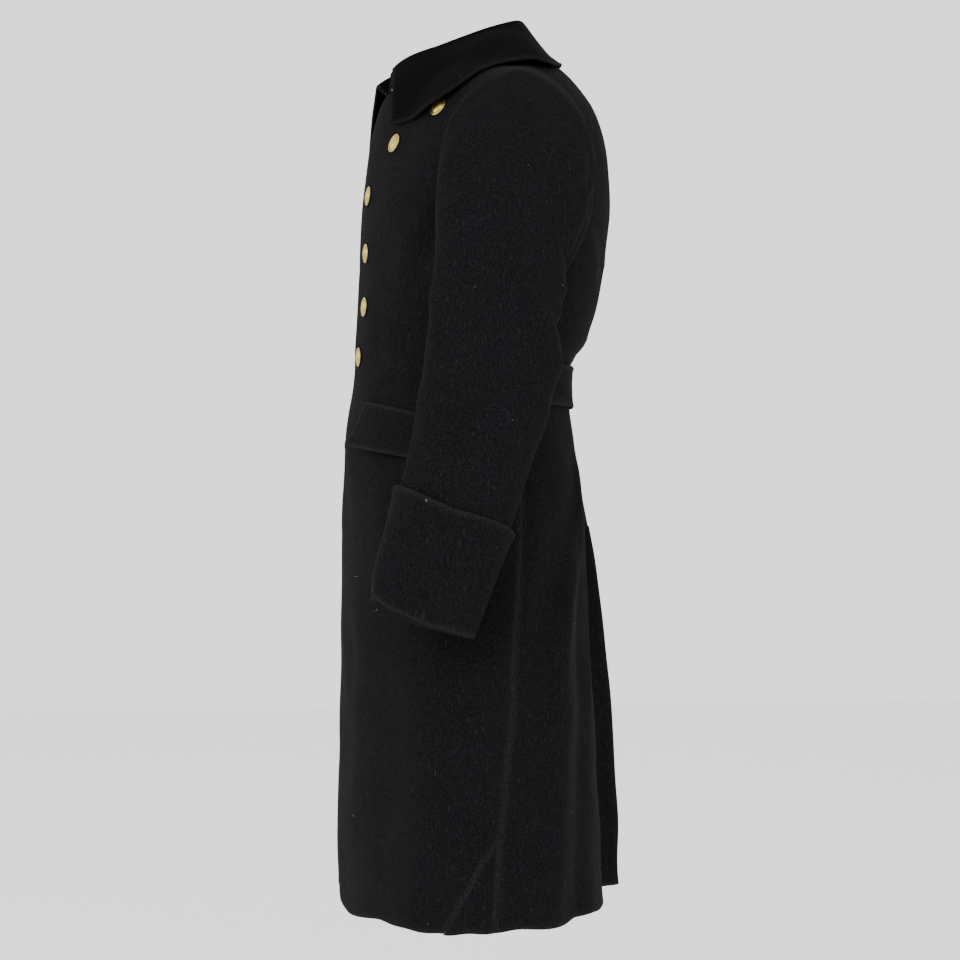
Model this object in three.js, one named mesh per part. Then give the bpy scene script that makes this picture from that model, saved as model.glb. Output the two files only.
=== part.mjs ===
import * as THREE from 'three';

// Greatcoat, sizes in mm. Front is -Y, the wearer's left is +X, +Z is up.
// The origin is the centre of the neck base, where the coat hangs on the shoulders.
const wall = 3;
const collarWall = 3.4;
const seamGap = 0.3;
const shoulderGap = 0.35;
const sleeveGap = 1.4;
const lapInset = 3.9;
const underlapWall = 2.6;
const underlapGap = 1.2;
const underlapLeast = 26;
const lapelDrop = 0.42;
const lapelWide = 50;
const foldFade = 130;
const trimWall = 3.2;
const flapLift = 4.4;
const beltLift = 4.2;
const collarLift = 6;
const wedgeTurn = 23;
const dentAngle = -21;
const dentAcross = 13;
const rightArmSwing = 24;
const cuffTilt = 0.12;
const chestZ = -265;
const hemZ = -1068;
const wedgeTopZ = -953;
const neckSide = 78;
const neckMidY = -28;
const neckFrontY = -120;
const neckBackY = 60;
const neckFrontZ = -42;
const neckBackZ = 6;
const shoulderX = 227;
const shoulderY = 21;
const shoulderZ = -43;
const neckColumn = 40;
const frontArmColumn = 64;
const backArmColumn = 127;

// outer form of the body, level by level: depth in front, depth behind on the right and on
// the left half, half width, depth of the widest line, squareness, side seam angle, and how
// far the right side of the front falls back
const levels = [
  { z: -1068, front: 182, back: 184, backLeft: 152, half: 318, wide: -40, square: 0.02, side: 94, dent: 0 },
  { z: -1001, front: 183, back: 182, backLeft: 148, half: 309, wide: -38, square: 0.02, side: 95, dent: 0 },
  { z: -938, front: 182, back: 180, backLeft: 145, half: 299, wide: -35, square: 0.03, side: 96.5, dent: 0 },
  { z: -876, front: 180, back: 177, backLeft: 142, half: 289, wide: -32, square: 0.03, side: 98, dent: 0 },
  { z: -814, front: 179, back: 172, backLeft: 139, half: 278, wide: -29, square: 0.04, side: 100, dent: 0 },
  { z: -751, front: 178, back: 166, backLeft: 133, half: 267, wide: -26, square: 0.04, side: 101, dent: 0 },
  { z: -689, front: 178, back: 158, backLeft: 130, half: 255, wide: -23, square: 0.05, side: 103, dent: 0 },
  { z: -627, front: 178, back: 149, backLeft: 125, half: 242, wide: -19, square: 0.06, side: 104.5, dent: 0 },
  { z: -564, front: 177, back: 137, backLeft: 122, half: 226, wide: -15, square: 0.06, side: 105, dent: 0 },
  { z: -512, front: 176, back: 121, backLeft: 117, half: 210, wide: -11, square: 0.07, side: 104, dent: 2 },
  { z: -450, front: 171, back: 110, backLeft: 110, half: 195, wide: -7, square: 0.07, side: 102, dent: 6 },
  { z: -397, front: 164, back: 109, backLeft: 109, half: 190, wide: -3, square: 0.07, side: 100, dent: 8 },
  { z: -367, front: 163, back: 127, backLeft: 127, half: 195, wide: 0, square: 0.07, side: 97, dent: 8 },
  { z: -325, front: 161, back: 142, backLeft: 142, half: 205, wide: 2, square: 0.08, side: 94, dent: 8 },
  { z: -265, front: 157, back: 155, backLeft: 155, half: 213, wide: 5, square: 0.08, side: 91, dent: 8 },
];

// how far the upper back swells over the shoulder blades, by share of the rise
const bladeSwell = [
  { rise: 0, push: 0 },
  { rise: 0.1, push: 6 },
  { rise: 0.25, push: 10 },
  { rise: 0.45, push: 5 },
  { rise: 0.6, push: -2 },
  { rise: 0.75, push: -5 },
  { rise: 1, push: 0 },
];

// free edge of the left front past the centre, as a column angle, below the chest
const lapEdge = [
  { z: -1068, angle: 15 },
  { z: -900, angle: 16 },
  { z: -700, angle: 18 },
  { z: -560, angle: 21.5 },
  { z: -450, angle: 25 },
  { z: -318, angle: 26 },
  { z: -265, angle: 27.5 },
];

// the same edge above the chest, by share of the way up to the shoulder line
const lapelEdge = [
  { rise: 0, angle: 27.5 },
  { rise: 0.3, angle: 31 },
  { rise: 0.6, angle: 38 },
  { rise: 0.85, angle: 47 },
  { rise: 1, angle: 50 },
];

// vent edge of the left back half, as a column angle
const ventEdge = [
  { z: -1068, angle: 157 },
  { z: -900, angle: 160 },
  { z: -751, angle: 164 },
  { z: -640, angle: 170.5 },
  { z: -600, angle: 176 },
  { z: -570, angle: 180 },
  { z: -265, angle: 180 },
];

// section of the vent underlap: share of the way to the vent edge, share of the drop
const underlapTurn = [
  { across: 0, drop: 0 },
  { across: 0.07, drop: 0.06 },
  { across: 0.12, drop: 0.26 },
  { across: 0.15, drop: 0.52 },
  { across: 0.21, drop: 0.78 },
  { across: 0.34, drop: 0.93 },
  { across: 0.6, drop: 0.98 },
  { across: 0.85, drop: 1 },
  { across: 1.15, drop: 1 },
  { across: 1.4, drop: 1 },
];

// soft ridges and troughs of the skirt and chest: three points down the fold as column
// angles, half breadth and rise outward; left side positive, right side negative angles
const folds = [
  { z1: -500, a1: 160, z2: -690, a2: 128, z3: -1068, a3: 115, across: 26, rise: 13 },
  { z1: -560, a1: 150, z2: -720, a2: 141, z3: -1068, a3: 131, across: 24, rise: -9 },
  { z1: -560, a1: 128, z2: -760, a2: 112, z3: -1068, a3: 99, across: 28, rise: -7 },
  { z1: -620, a1: 70, z2: -800, a2: 64, z3: -1068, a3: 58, across: 34, rise: 6 },
  { z1: -620, a1: 46, z2: -800, a2: 44, z3: -1068, a3: 42, across: 30, rise: -4 },
  { z1: -500, a1: -158, z2: -700, a2: -134, z3: -1068, a3: -124, across: 28, rise: 11 },
  { z1: -580, a1: -148, z2: -740, a2: -150, z3: -1068, a3: -146, across: 26, rise: -8 },
  { z1: -560, a1: -124, z2: -760, a2: -110, z3: -1068, a3: -100, across: 28, rise: -7 },
  { z1: -620, a1: -66, z2: -800, a2: -62, z3: -1068, a3: -55, across: 34, rise: 6 },
];

// button places: breadth in the left and in the right column, height, and how deep each
// sinks towards the cloth left and right
const buttonSpots = [
  { leftX: 167, rightX: 146, z: -82, left: 1.35, right: 0.8 },
  { leftX: 112, rightX: 110, z: -119, left: 1, right: 0.8 },
  { leftX: 54, rightX: 82, z: -178, left: 0.75, right: 0.5 },
  { leftX: 64, rightX: 78, z: -252, left: 0.8, right: 0.7 },
  { leftX: 72, rightX: 72, z: -320, left: 0.5, right: 0.6 },
  { leftX: 48, rightX: 66, z: -382, left: 0.3, right: 0.5 },
];

// left sleeve, ring by ring after the armhole: outer point, inner point, front and back
// point, of which the depth and the height are given
const sleeveRings = [
  { ox: 243, oz: -52, ix: 222, iz: -271, fy: -80, fz: -170, by: 106, bz: -176, y: 14 },
  { ox: 263, oz: -76, ix: 228, iz: -277, fy: -86, fz: -186, by: 103, bz: -190, y: 12 },
  { ox: 281, oz: -116, ix: 231, iz: -288, fy: -89, fz: -208, by: 96, bz: -211, y: 8 },
  { ox: 294, oz: -168, ix: 234, iz: -304, fy: -90, fz: -238, by: 84, bz: -242, y: 2 },
  { ox: 304, oz: -224, ix: 236, iz: -326, fy: -92, fz: -276, by: 68, bz: -280, y: -6 },
  { ox: 313, oz: -282, ix: 239, iz: -356, fy: -96, fz: -316, by: 60, bz: -322, y: -14 },
  { ox: 320, oz: -336, ix: 243, iz: -390, fy: -101, fz: -356, by: 57, bz: -366, y: -22 },
  { ox: 327, oz: -388, ix: 246, iz: -428, fy: -107, fz: -396, by: 54, bz: -412, y: -30 },
  { ox: 333, oz: -440, ix: 250, iz: -470, fy: -114, fz: -438, by: 42, bz: -462, y: -42 },
  { ox: 339, oz: -492, ix: 254, iz: -512, fy: -122, fz: -482, by: 22, bz: -514, y: -56 },
  { ox: 343, oz: -542, ix: 258, iz: -556, fy: -131, fz: -526, by: 4, bz: -564, y: -70 },
  { ox: 347, oz: -592, ix: 261, iz: -602, fy: -143, fz: -574, by: -14, bz: -614, y: -84 },
  { ox: 350, oz: -648, ix: 264, iz: -655, fy: -159, fz: -625, by: -34, bz: -668, y: -98 },
  { ox: 352, oz: -703, ix: 266, iz: -708, fy: -171, fz: -676, by: -54, bz: -720, y: -110 },
];

// collar, from the front end to the middle of the back: neck seam angle, fold point, lip
// point and how far the fall swells between them
const collarStations = [
  { seam: 8, fx: 24, fy: -117, fz: -14, lx: 106, ly: -128, lz: -93, swell: 9 },
  { seam: 22, fx: 36, fy: -108, fz: -6, lx: 126, ly: -111, lz: -92, swell: 9 },
  { seam: 40, fx: 49, fy: -89, fz: 3, lx: 150, ly: -92, lz: -90, swell: 8 },
  { seam: 60, fx: 59, fy: -63, fz: 11, lx: 173, ly: -64, lz: -77, swell: 7 },
  { seam: 80, fx: 64, fy: -34, fz: 22, lx: 184, ly: -30, lz: -55, swell: 7 },
  { seam: 100, fx: 64, fy: -6, fz: 33, lx: 165, ly: 9, lz: -24, swell: 6 },
  { seam: 120, fx: 57, fy: 18, fz: 42, lx: 125, ly: 50, lz: -11, swell: 5 },
  { seam: 140, fx: 43, fy: 36, fz: 49, lx: 96, ly: 80, lz: -12, swell: 2 },
  { seam: 160, fx: 22, fy: 46, fz: 53, lx: 48, ly: 97, lz: -6, swell: 0 },
  { seam: 180, fx: 0, fy: 49, fz: 55, lx: 0, ly: 102, lz: -3, swell: 0 },
];
// buttons that the fall lies over, where it lifts, and how far round them
const coveredButtons = [
  new THREE.Vector3(167, -75, -81),
  new THREE.Vector3(-147, -84, -78),
  new THREE.Vector3(-110, -124, -118),
];
const coveredLift = 6;
const coveredReach = 34;

// the right end of the collar hangs lower and further forward: shifts of its fold and lip
const foldDroop = new THREE.Vector3(0, -14, -12);
const lipDroop = new THREE.Vector3(38, -12, -30);

// pocket flap, column by column: upper and lower edge, and how far the lower edge lifts
const flapColumns = [
  { topAngle: 31, topZ: -441, lowAngle: 23, lowZ: -495, left: 10, right: 3 },
  { topAngle: 48, topZ: -450, lowAngle: 47, lowZ: -507, left: 6, right: 3 },
  { topAngle: 64, topZ: -462, lowAngle: 66, lowZ: -519, left: 3, right: 3 },
  { topAngle: 79, topZ: -474, lowAngle: 82, lowZ: -531, left: 2, right: 2 },
];

const beltRows = [-446, -420, -394];
const beltFlare = 1.6;

const rad = Math.PI / 180;
const clamp = (value) => Math.min(1, Math.max(0, value));
const lerp = (a, b, t) => a + (b - a) * t;
const ease = (value) => {
  const t = clamp(value);
  return t * t * (3 - 2 * t);
};

// smooth curve through one column of a table
function along(rows, key, column, where) {
  const sorted = rows[0][key] < rows[rows.length - 1][key] ? rows : [...rows].reverse();
  const last = sorted.length - 1;
  const at = Math.min(sorted[last][key], Math.max(sorted[0][key], where));
  let i = 0;
  while (i < last - 1 && at > sorted[i + 1][key]) i += 1;
  const slope = (k) => {
    const a = sorted[Math.max(0, k - 1)];
    const b = sorted[Math.min(last, k + 1)];
    return (b[column] - a[column]) / (b[key] - a[key]);
  };
  const from = sorted[i];
  const to = sorted[i + 1];
  const span = to[key] - from[key];
  const t = (at - from[key]) / span;
  const rise = (to[column] - from[column]) / span;
  const limit = (m) => {
    if (rise === 0 || m * rise < 0) return 0;
    return Math.sign(m) * Math.min(Math.abs(m), 3 * Math.abs(rise));
  };
  const m0 = limit(slope(i)) * span;
  const m1 = limit(slope(i + 1)) * span;
  const t2 = t * t;
  const t3 = t2 * t;
  return (2 * t3 - 3 * t2 + 1) * from[column] + (t3 - 2 * t2 + t) * m0
    + (3 * t2 - 2 * t3) * to[column] + (t3 - t2) * m1;
}

const level = (column, z) => along(levels, 'z', column, z);

// ring of the body at one height; angle 0 is the front, 180 the back, left is positive
function ring(angle, z) {
  const t = angle * rad;
  const c = Math.cos(t);
  const wide = level('wide', z);
  const rear = level(angle > 0 ? 'backLeft' : 'back', z);
  const depth = c > 0 ? level('front', z) + wide : rear - wide;
  const swell = 1 + level('square', z) * Math.sin(2 * t) ** 2;
  const dent = level('dent', z) * Math.exp(-(((angle - dentAngle) / dentAcross) ** 2));
  return [level('half', z) * Math.sin(t) * swell, wide - depth * c * swell + dent];
}

// neck seam: an oval in a plane that rises to the back
function neckPoint(angle) {
  const c = Math.cos(angle * rad);
  const y = neckMidY - c * (c > 0 ? neckMidY - neckFrontY : neckBackY - neckMidY);
  const z = lerp(neckFrontZ, neckBackZ, (y - neckFrontY) / (neckBackY - neckFrontY));
  return new THREE.Vector3(neckSide * Math.sin(angle * rad), y, z);
}

const neckShoulderAngle = 115.6;

// where a column of the body ends: on the neck seam or on the shoulder seam
function columnTop(angle) {
  const side = Math.sign(angle) || 1;
  const a = Math.abs(angle);
  const front = a < 90;
  const arm = front ? frontArmColumn : backArmColumn;
  const neck = front ? neckColumn : 180 - neckColumn;
  const toArm = (a - neck) / (arm - neck);
  const toNeck = front ? a / neck : (180 - a) / (180 - neck);
  const seat = front ? neckShoulderAngle * toNeck : 180 - (180 - neckShoulderAngle) * toNeck;
  const top = neckPoint(Math.min(Math.max(toArm > 0 ? neckShoulderAngle : seat, 0), 180));
  if (toArm > 0) {
    const t = clamp(toArm);
    top.set(lerp(top.x, shoulderX, t), lerp(top.y, shoulderY, t), lerp(top.z, shoulderZ, t));
  }
  top.x *= side;
  return top;
}

function fullness(angle) {
  const a = Math.abs(angle);
  if (a < 90) return lerp(1.7, 2.6, clamp(a / frontArmColumn));
  return lerp(3.1, 2.5, clamp((180 - a) / (180 - backArmColumn)));
}

function foldRise(angle, z) {
  let sum = 0;
  for (const fold of folds) {
    if (z > fold.z1 || fold.a1 * angle < 0) continue;
    const upper = z > fold.z2;
    const share = upper ? (z - fold.z1) / (fold.z2 - fold.z1) : (z - fold.z2) / (fold.z3 - fold.z2);
    const centre = upper ? lerp(fold.a1, fold.a2, share) : lerp(fold.a2, fold.a3, share);
    const perDegree = (level('half', z) + 150) / 2 * rad;
    const off = (angle - centre) * perDegree / fold.across;
    sum += fold.rise * Math.exp(-off * off) * ease((fold.z1 - z) / foldFade);
  }
  return sum;
}

// outer surface of the body: height below the chest, share of the rise above it
function bodyPoint(angle, z, rise = 0) {
  const [x, y] = ring(angle, z);
  if (rise === 0) {
    const out = new THREE.Vector2(x, y - level('wide', z)).normalize();
    const lift = foldRise(angle, z);
    return new THREE.Vector3(x + out.x * lift, y + out.y * lift, z);
  }
  const top = columnTop(angle);
  const power = 2 / fullness(angle);
  const up = Math.sin(rise * Math.PI / 2) ** power;
  const inward = 1 - Math.max(0, Math.cos(rise * Math.PI / 2)) ** power;
  const push = along(bladeSwell, 'rise', 'push', rise) * ease((Math.abs(angle) - 110) / 50);
  return new THREE.Vector3(
    lerp(x, top.x, inward),
    lerp(y, top.y, inward) + push,
    lerp(z, top.z, up),
  );
}

function bodyNormal(angle, z, rise = 0) {
  const step = 0.6;
  const p = bodyPoint(angle - step, z, rise);
  const q = bodyPoint(angle + step, z, rise);
  let low = bodyPoint(angle, z - 2, 0);
  let high = bodyPoint(angle, z, 0.01);
  if (rise > 0) {
    low = bodyPoint(angle, z, Math.max(0, rise - 0.02));
    high = bodyPoint(angle, z, Math.min(1, rise + 0.02));
  } else if (z < chestZ - 1) {
    high = bodyPoint(angle, Math.min(chestZ, z + 2), 0);
  }
  return q.sub(p).cross(high.sub(low)).normalize();
}

// closed panel of cloth from a grid of outer points and a grid of directions outward
function panel(outer, outward, thick, trim) {
  const rows = outer.length;
  const cols = outer[0].length;
  const inner = outer.map((row, j) => row.map((p, i) => {
    return p.clone().addScaledVector(outward[j][i], -thick);
  }));
  for (const grid of [outer, inner]) {
    const pull = (p, q, gap) => p.addScaledVector(q.clone().sub(p).normalize(), gap);
    for (let i = 0; i < cols; i += 1) {
      if (trim.low) pull(grid[0][i], grid[1][i], trim.low);
      if (trim.high) pull(grid[rows - 1][i], grid[rows - 2][i], trim.high);
    }
    for (let j = 0; j < rows; j += 1) {
      if (trim.first) pull(grid[j][0], grid[j][1], trim.first);
      if (trim.last) pull(grid[j][cols - 1], grid[j][cols - 2], trim.last);
    }
  }
  const spots = [...outer, ...inner].flat().flatMap((p) => p.toArray());
  const at = (layer, j, i) => (layer * rows + j) * cols + i;
  const faces = [];
  const quad = (a, b, c, d) => faces.push(a, b, c, a, c, d);
  for (let j = 0; j < rows - 1; j += 1) {
    for (let i = 0; i < cols - 1; i += 1) {
      quad(at(0, j, i), at(0, j, i + 1), at(0, j + 1, i + 1), at(0, j + 1, i));
      quad(at(1, j, i), at(1, j + 1, i), at(1, j + 1, i + 1), at(1, j, i + 1));
    }
    quad(at(0, j, 0), at(0, j + 1, 0), at(1, j + 1, 0), at(1, j, 0));
    quad(at(0, j, cols - 1), at(1, j, cols - 1), at(1, j + 1, cols - 1), at(0, j + 1, cols - 1));
  }
  for (let i = 0; i < cols - 1; i += 1) {
    quad(at(0, 0, i), at(1, 0, i), at(1, 0, i + 1), at(0, 0, i + 1));
    quad(at(0, rows - 1, i), at(0, rows - 1, i + 1), at(1, rows - 1, i + 1), at(1, rows - 1, i));
  }
  return solid(spots, faces);
}

// closed band round a limb: outer and inner loops of points, joined at both ends
function band(outer, inner) {
  const rows = outer.length;
  const count = outer[0].length;
  const spots = [...outer, ...inner].flat().flatMap((p) => p.toArray());
  const at = (layer, j, i) => (layer * rows + j) * count + (i % count);
  const faces = [];
  const quad = (a, b, c, d) => faces.push(a, b, c, a, c, d);
  for (let i = 0; i < count; i += 1) {
    for (let j = 0; j < rows - 1; j += 1) {
      quad(at(0, j, i), at(0, j, i + 1), at(0, j + 1, i + 1), at(0, j + 1, i));
      quad(at(1, j, i), at(1, j + 1, i), at(1, j + 1, i + 1), at(1, j, i + 1));
    }
    quad(at(0, 0, i), at(1, 0, i), at(1, 0, i + 1), at(0, 0, i + 1));
    quad(at(0, rows - 1, i), at(0, rows - 1, i + 1), at(1, rows - 1, i + 1), at(1, rows - 1, i));
  }
  return solid(spots, faces);
}

function solid(spots, faces) {
  const geometry = new THREE.BufferGeometry();
  geometry.setAttribute('position', new THREE.Float32BufferAttribute(spots, 3));
  geometry.setIndex(faces);
  const volume = signedVolume(spots, faces);
  if (volume < 0) {
    for (let i = 0; i < faces.length; i += 3) {
      [faces[i + 1], faces[i + 2]] = [faces[i + 2], faces[i + 1]];
    }
    geometry.setIndex(faces);
  }
  geometry.computeVertexNormals();
  return geometry;
}

function signedVolume(spots, faces) {
  let sum = 0;
  const point = (i) => new THREE.Vector3(spots[3 * i], spots[3 * i + 1], spots[3 * i + 2]);
  for (let i = 0; i < faces.length; i += 3) {
    sum += point(faces[i]).dot(point(faces[i + 1]).cross(point(faces[i + 2])));
  }
  return sum / 6;
}

// directions outward worked out from the grid itself
function gridOutward(grid, flip = 1) {
  const rows = grid.length;
  const cols = grid[0].length;
  return grid.map((row, j) => row.map((p, i) => {
    const across = grid[j][Math.min(cols - 1, i + 1)].clone().sub(grid[j][Math.max(0, i - 1)]);
    const up = grid[Math.min(rows - 1, j + 1)][i].clone().sub(grid[Math.max(0, j - 1)][i]);
    return across.cross(up).normalize().multiplyScalar(flip);
  }));
}

const cloth = { color: 0x17181b, roughness: 0.96, metalness: 0 };
const collarCloth = { color: 0x111214, roughness: 0.9, metalness: 0 };
const brass = { color: 0xc2a463, roughness: 0.38, metalness: 1 };
const coat = new THREE.Group();

function addPiece(name, geometry, look) {
  const mesh = new THREE.Mesh(geometry, new THREE.MeshStandardMaterial(look));
  mesh.name = name;
  coat.add(mesh);
}

const lowRows = [-1068, -1030, -992, -953, -885, -815, -745, -680, -620, -570, -525, -487, -465,
  ...beltRows, -365, -335, -300, -265];
const highRows = [0.04, 0.1, 0.17, 0.25, 0.34, 0.45, 0.57, 0.7, 0.83, 0.93, 1];
const bodyRows = [
  ...lowRows.map((z) => ({ z, rise: 0 })),
  ...highRows.map((rise) => ({ z: chestZ, rise })),
];

const armRow = 0.25;
function armTurn(rise, power) {
  const up = (value) => Math.sin(value * Math.PI / 2) ** power;
  const share = clamp(up(rise) / up(armRow));
  return 1 - Math.sqrt(Math.max(0, 1 - (1 - share) ** 2));
}

function frontSide(row) {
  if (row.rise > 0) return lerp(frontArmColumn, level('side', chestZ), armTurn(row.rise, 0.8));
  const wedge = row.z < wedgeTopZ ? wedgeTurn * (wedgeTopZ - row.z) / (wedgeTopZ - hemZ) : 0;
  return level('side', row.z) - wedge;
}

function backSide(row) {
  if (row.rise > 0) return lerp(backArmColumn, level('side', chestZ), armTurn(row.rise, 0.8));
  return level('side', row.z);
}

const lapelTop = (angle) => 1 - lapelDrop * clamp(Math.abs(angle) / lapelWide);

// how far round the lapel covers at one share of the rise
function lapelReach(rise) {
  if (rise >= 1 - lapelDrop) return (1 - rise) * lapelWide / lapelDrop;
  let low = 0;
  let high = 1;
  for (let i = 0; i < 20; i += 1) {
    const middle = (low + high) / 2;
    const angle = along(lapelEdge, 'rise', 'angle', middle);
    if (middle * lapelTop(angle) < rise) low = middle;
    else high = middle;
  }
  return along(lapelEdge, 'rise', 'angle', low);
}

function spread(stops, counts) {
  const out = [stops[0]];
  counts.forEach((count, k) => {
    for (let i = 1; i <= count; i += 1) out.push(lerp(stops[k], stops[k + 1], i / count));
  });
  return out;
}

function bodyGrid(rows, anglesAt, riseAt, insetAt) {
  const outer = [];
  const outward = [];
  for (const row of rows) {
    const points = [];
    const normals = [];
    for (const angle of anglesAt(row)) {
      const rise = riseAt(row, angle);
      const normal = bodyNormal(angle, row.z, rise);
      points.push(bodyPoint(angle, row.z, rise).addScaledVector(normal, -insetAt(row, angle, rise)));
      normals.push(normal);
    }
    outer.push(points);
    outward.push(normals);
  }
  return { outer, outward };
}

const plainRise = (row) => row.rise;
const noInset = () => 0;
const frontTrim = { last: seamGap / 2, high: shoulderGap };
const backTrim = { first: seamGap / 2, last: seamGap / 2, high: shoulderGap };
const sideTrim = { first: seamGap / 2, last: seamGap / 2 };

// left front: from its free edge on the wearer's right to the left side seam
const lapAngle = (row) => {
  if (row.rise > 0) return along(lapelEdge, 'rise', 'angle', row.rise);
  return along(lapEdge, 'z', 'angle', row.z);
};
const leftFront = bodyGrid(
  bodyRows,
  (row) => spread([-lapAngle(row), 0, neckColumn, frontSide(row)], [4, 5, 5]),
  (row, angle) => row.rise * (angle < 0 ? lapelTop(angle) : 1),
  noInset,
);
addPiece('front_left', panel(leftFront.outer, leftFront.outward, wall, frontTrim), cloth);

// right front: from its hidden edge under the left front to the right side seam
const rightFront = bodyGrid(
  bodyRows,
  (row) => {
    const edge = row.rise > 0 ? 27.5 : lapAngle(row);
    const hidden = row.rise > 0 ? 17 : lerp(17, 12, clamp((chestZ - row.z) / 800));
    const shelf = edge + 2;
    const clear = row.rise > 0 ? lerp(shelf + 8, neckColumn, row.rise) : shelf + 8;
    return spread([hidden, 0, -shelf, -clear, -frontSide(row)], [3, 5, 1, 4]);
  },
  plainRise,
  (row, angle, rise) => {
    if (angle > 0) return lapInset + 1.5 * ease((rise - 0.15) / 0.3);
    const edge = rise > 0 ? lapelReach(rise) + 5 : lapAngle(row) + 1.9;
    const beyond = ease((Math.abs(angle) - edge) / 8.5);
    const roomy = lapInset + 3.5 * ease((rise - 0.15) / 0.3);
    return roomy * (1 - beyond);
  },
);
addPiece('front_right', panel(rightFront.outer, rightFront.outward, wall, frontTrim), cloth);

// back halves, with the vent from the half belt down
const ventAngle = (row) => (row.rise > 0 ? 180 : along(ventEdge, 'z', 'angle', row.z));
const leftBack = bodyGrid(
  bodyRows,
  (row) => spread([backSide(row), 180 - neckColumn, ventAngle(row)], [6, 5]),
  plainRise,
  noInset,
);
addPiece('back_left', panel(leftBack.outer, leftBack.outward, wall, backTrim), cloth);
const rightBack = bodyGrid(
  bodyRows,
  (row) => spread([-backSide(row), -(180 - neckColumn), -179.99], [6, 5]),
  plainRise,
  noInset,
);
addPiece('back_right', panel(rightBack.outer, rightBack.outward, wall, backTrim), cloth);

// vent underlap: turns in from the right half's edge and runs under the left half
const ventRows = [-1066, -1010, -953, -885, -815, -745, -680, -640, -612, -598];
const underlap = ventRows.map((z) => underlapTurn.map((stop) => {
  const edge = bodyPoint(along(ventEdge, 'z', 'angle', z), z);
  const start = bodyPoint(-179.99, z);
  const x = Math.max(edge.x, underlapLeast) * stop.across;
  const t = Math.asin(Math.min(1, x / level('half', z))) / rad;
  const under = bodyPoint(180 - t, z).addScaledVector(bodyNormal(180 - t, z), -wall - underlapGap);
  return new THREE.Vector3(x + 1.4, lerp(start.y, under.y, stop.drop), z);
}));
const underlapOutward = gridOutward(underlap, -1);
addPiece('vent_underlap', panel(underlap, underlapOutward, underlapWall, { first: seamGap }), cloth);

// pieced wedges at the hem
for (const side of [1, -1]) {
  const rows = [-1068, -1030, -992, wedgeTopZ];
  const wedge = rows.map((z) => {
    const seam = level('side', z);
    const from = frontSide({ z, rise: 0 });
    return spread([from, seam], [3]).map((angle) => side * angle);
  });
  const outer = wedge.map((angles, j) => angles.map((angle) => bodyPoint(angle, rows[j])));
  const outward = wedge.map((angles, j) => angles.map((angle) => bodyNormal(angle, rows[j])));
  outer[3] = outer[3].map((p, i) => outer[2][i].clone().lerp(p, 0.86));
  const name = side > 0 ? 'hem_wedge_left' : 'hem_wedge_right';
  addPiece(name, panel(outer, outward, wall, sideTrim), cloth);
}

// armhole of one side: lower point, up the front to the shoulder, down the back
function armhole(side) {
  const half = (edge, column) => {
    const list = [{ z: chestZ, rise: 0 }, ...highRows.map((rise) => ({ z: chestZ, rise }))];
    return list.map((row) => bodyPoint(side * edge(row), row.z, row.rise));
  };
  return { front: half(frontSide), back: half(backSide) };
}

// the sleeve keeps the armhole's own points, so its rings are split as the armhole is
function armShares(line) {
  const sums = [0];
  for (let i = 1; i < line.length; i += 1) sums.push(sums[i - 1] + line[i].distanceTo(line[i - 1]));
  return sums.map((sum) => sum / sums[sums.length - 1]);
}

const armSteps = highRows.length;
const sleeveSegments = armSteps * 2;
const frontShares = armShares(armhole(1).front);
const backShares = armShares(armhole(1).back);
const sleeveAngle = (i) => {
  if (i <= armSteps) return -90 + 180 * frontShares[i];
  return 270 - 180 * backShares[sleeveSegments - i];
};

function sleeveRing(row, side, k) {
  const swing = side < 0 ? rightArmSwing * (k / (sleeveRings.length - 1)) ** 2 : 0;
  const outerTop = new THREE.Vector3(row.ox, row.y + swing, row.oz);
  const innerLow = new THREE.Vector3(row.ix, row.y + swing, row.iz);
  const middle = outerTop.clone().add(innerLow).multiplyScalar(0.5);
  const front = new THREE.Vector3(middle.x, row.fy + swing, row.fz);
  const back = new THREE.Vector3(middle.x, row.by + swing, row.bz);
  const points = [];
  for (let i = 0; i < sleeveSegments; i += 1) {
    const t = sleeveAngle(i) * rad;
    const c = Math.cos(t);
    const swell = 1 + 0.05 * Math.sin(2 * t) ** 2;
    const p = middle.clone();
    p.addScaledVector(outerTop.clone().sub(middle), Math.sin(t) * swell);
    p.addScaledVector((c > 0 ? front : back).clone().sub(middle), Math.abs(c) * swell);
    p.x *= side;
    points.push(p);
  }
  return points;
}

function sleeveLoops(side) {
  const { front, back } = armhole(side);
  const first = [];
  for (let i = 0; i < sleeveSegments; i += 1) {
    first.push((i <= armSteps ? front[i] : back[sleeveSegments - i]).clone());
  }
  const loops = [first, ...sleeveRings.map((row, k) => sleeveRing(row, side, k))];
  first.forEach((p, i) => {
    const dir = loops[1][i].clone().sub(p).normalize();
    p.addScaledVector(dir, sleeveGap);
  });
  return loops;
}

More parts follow.
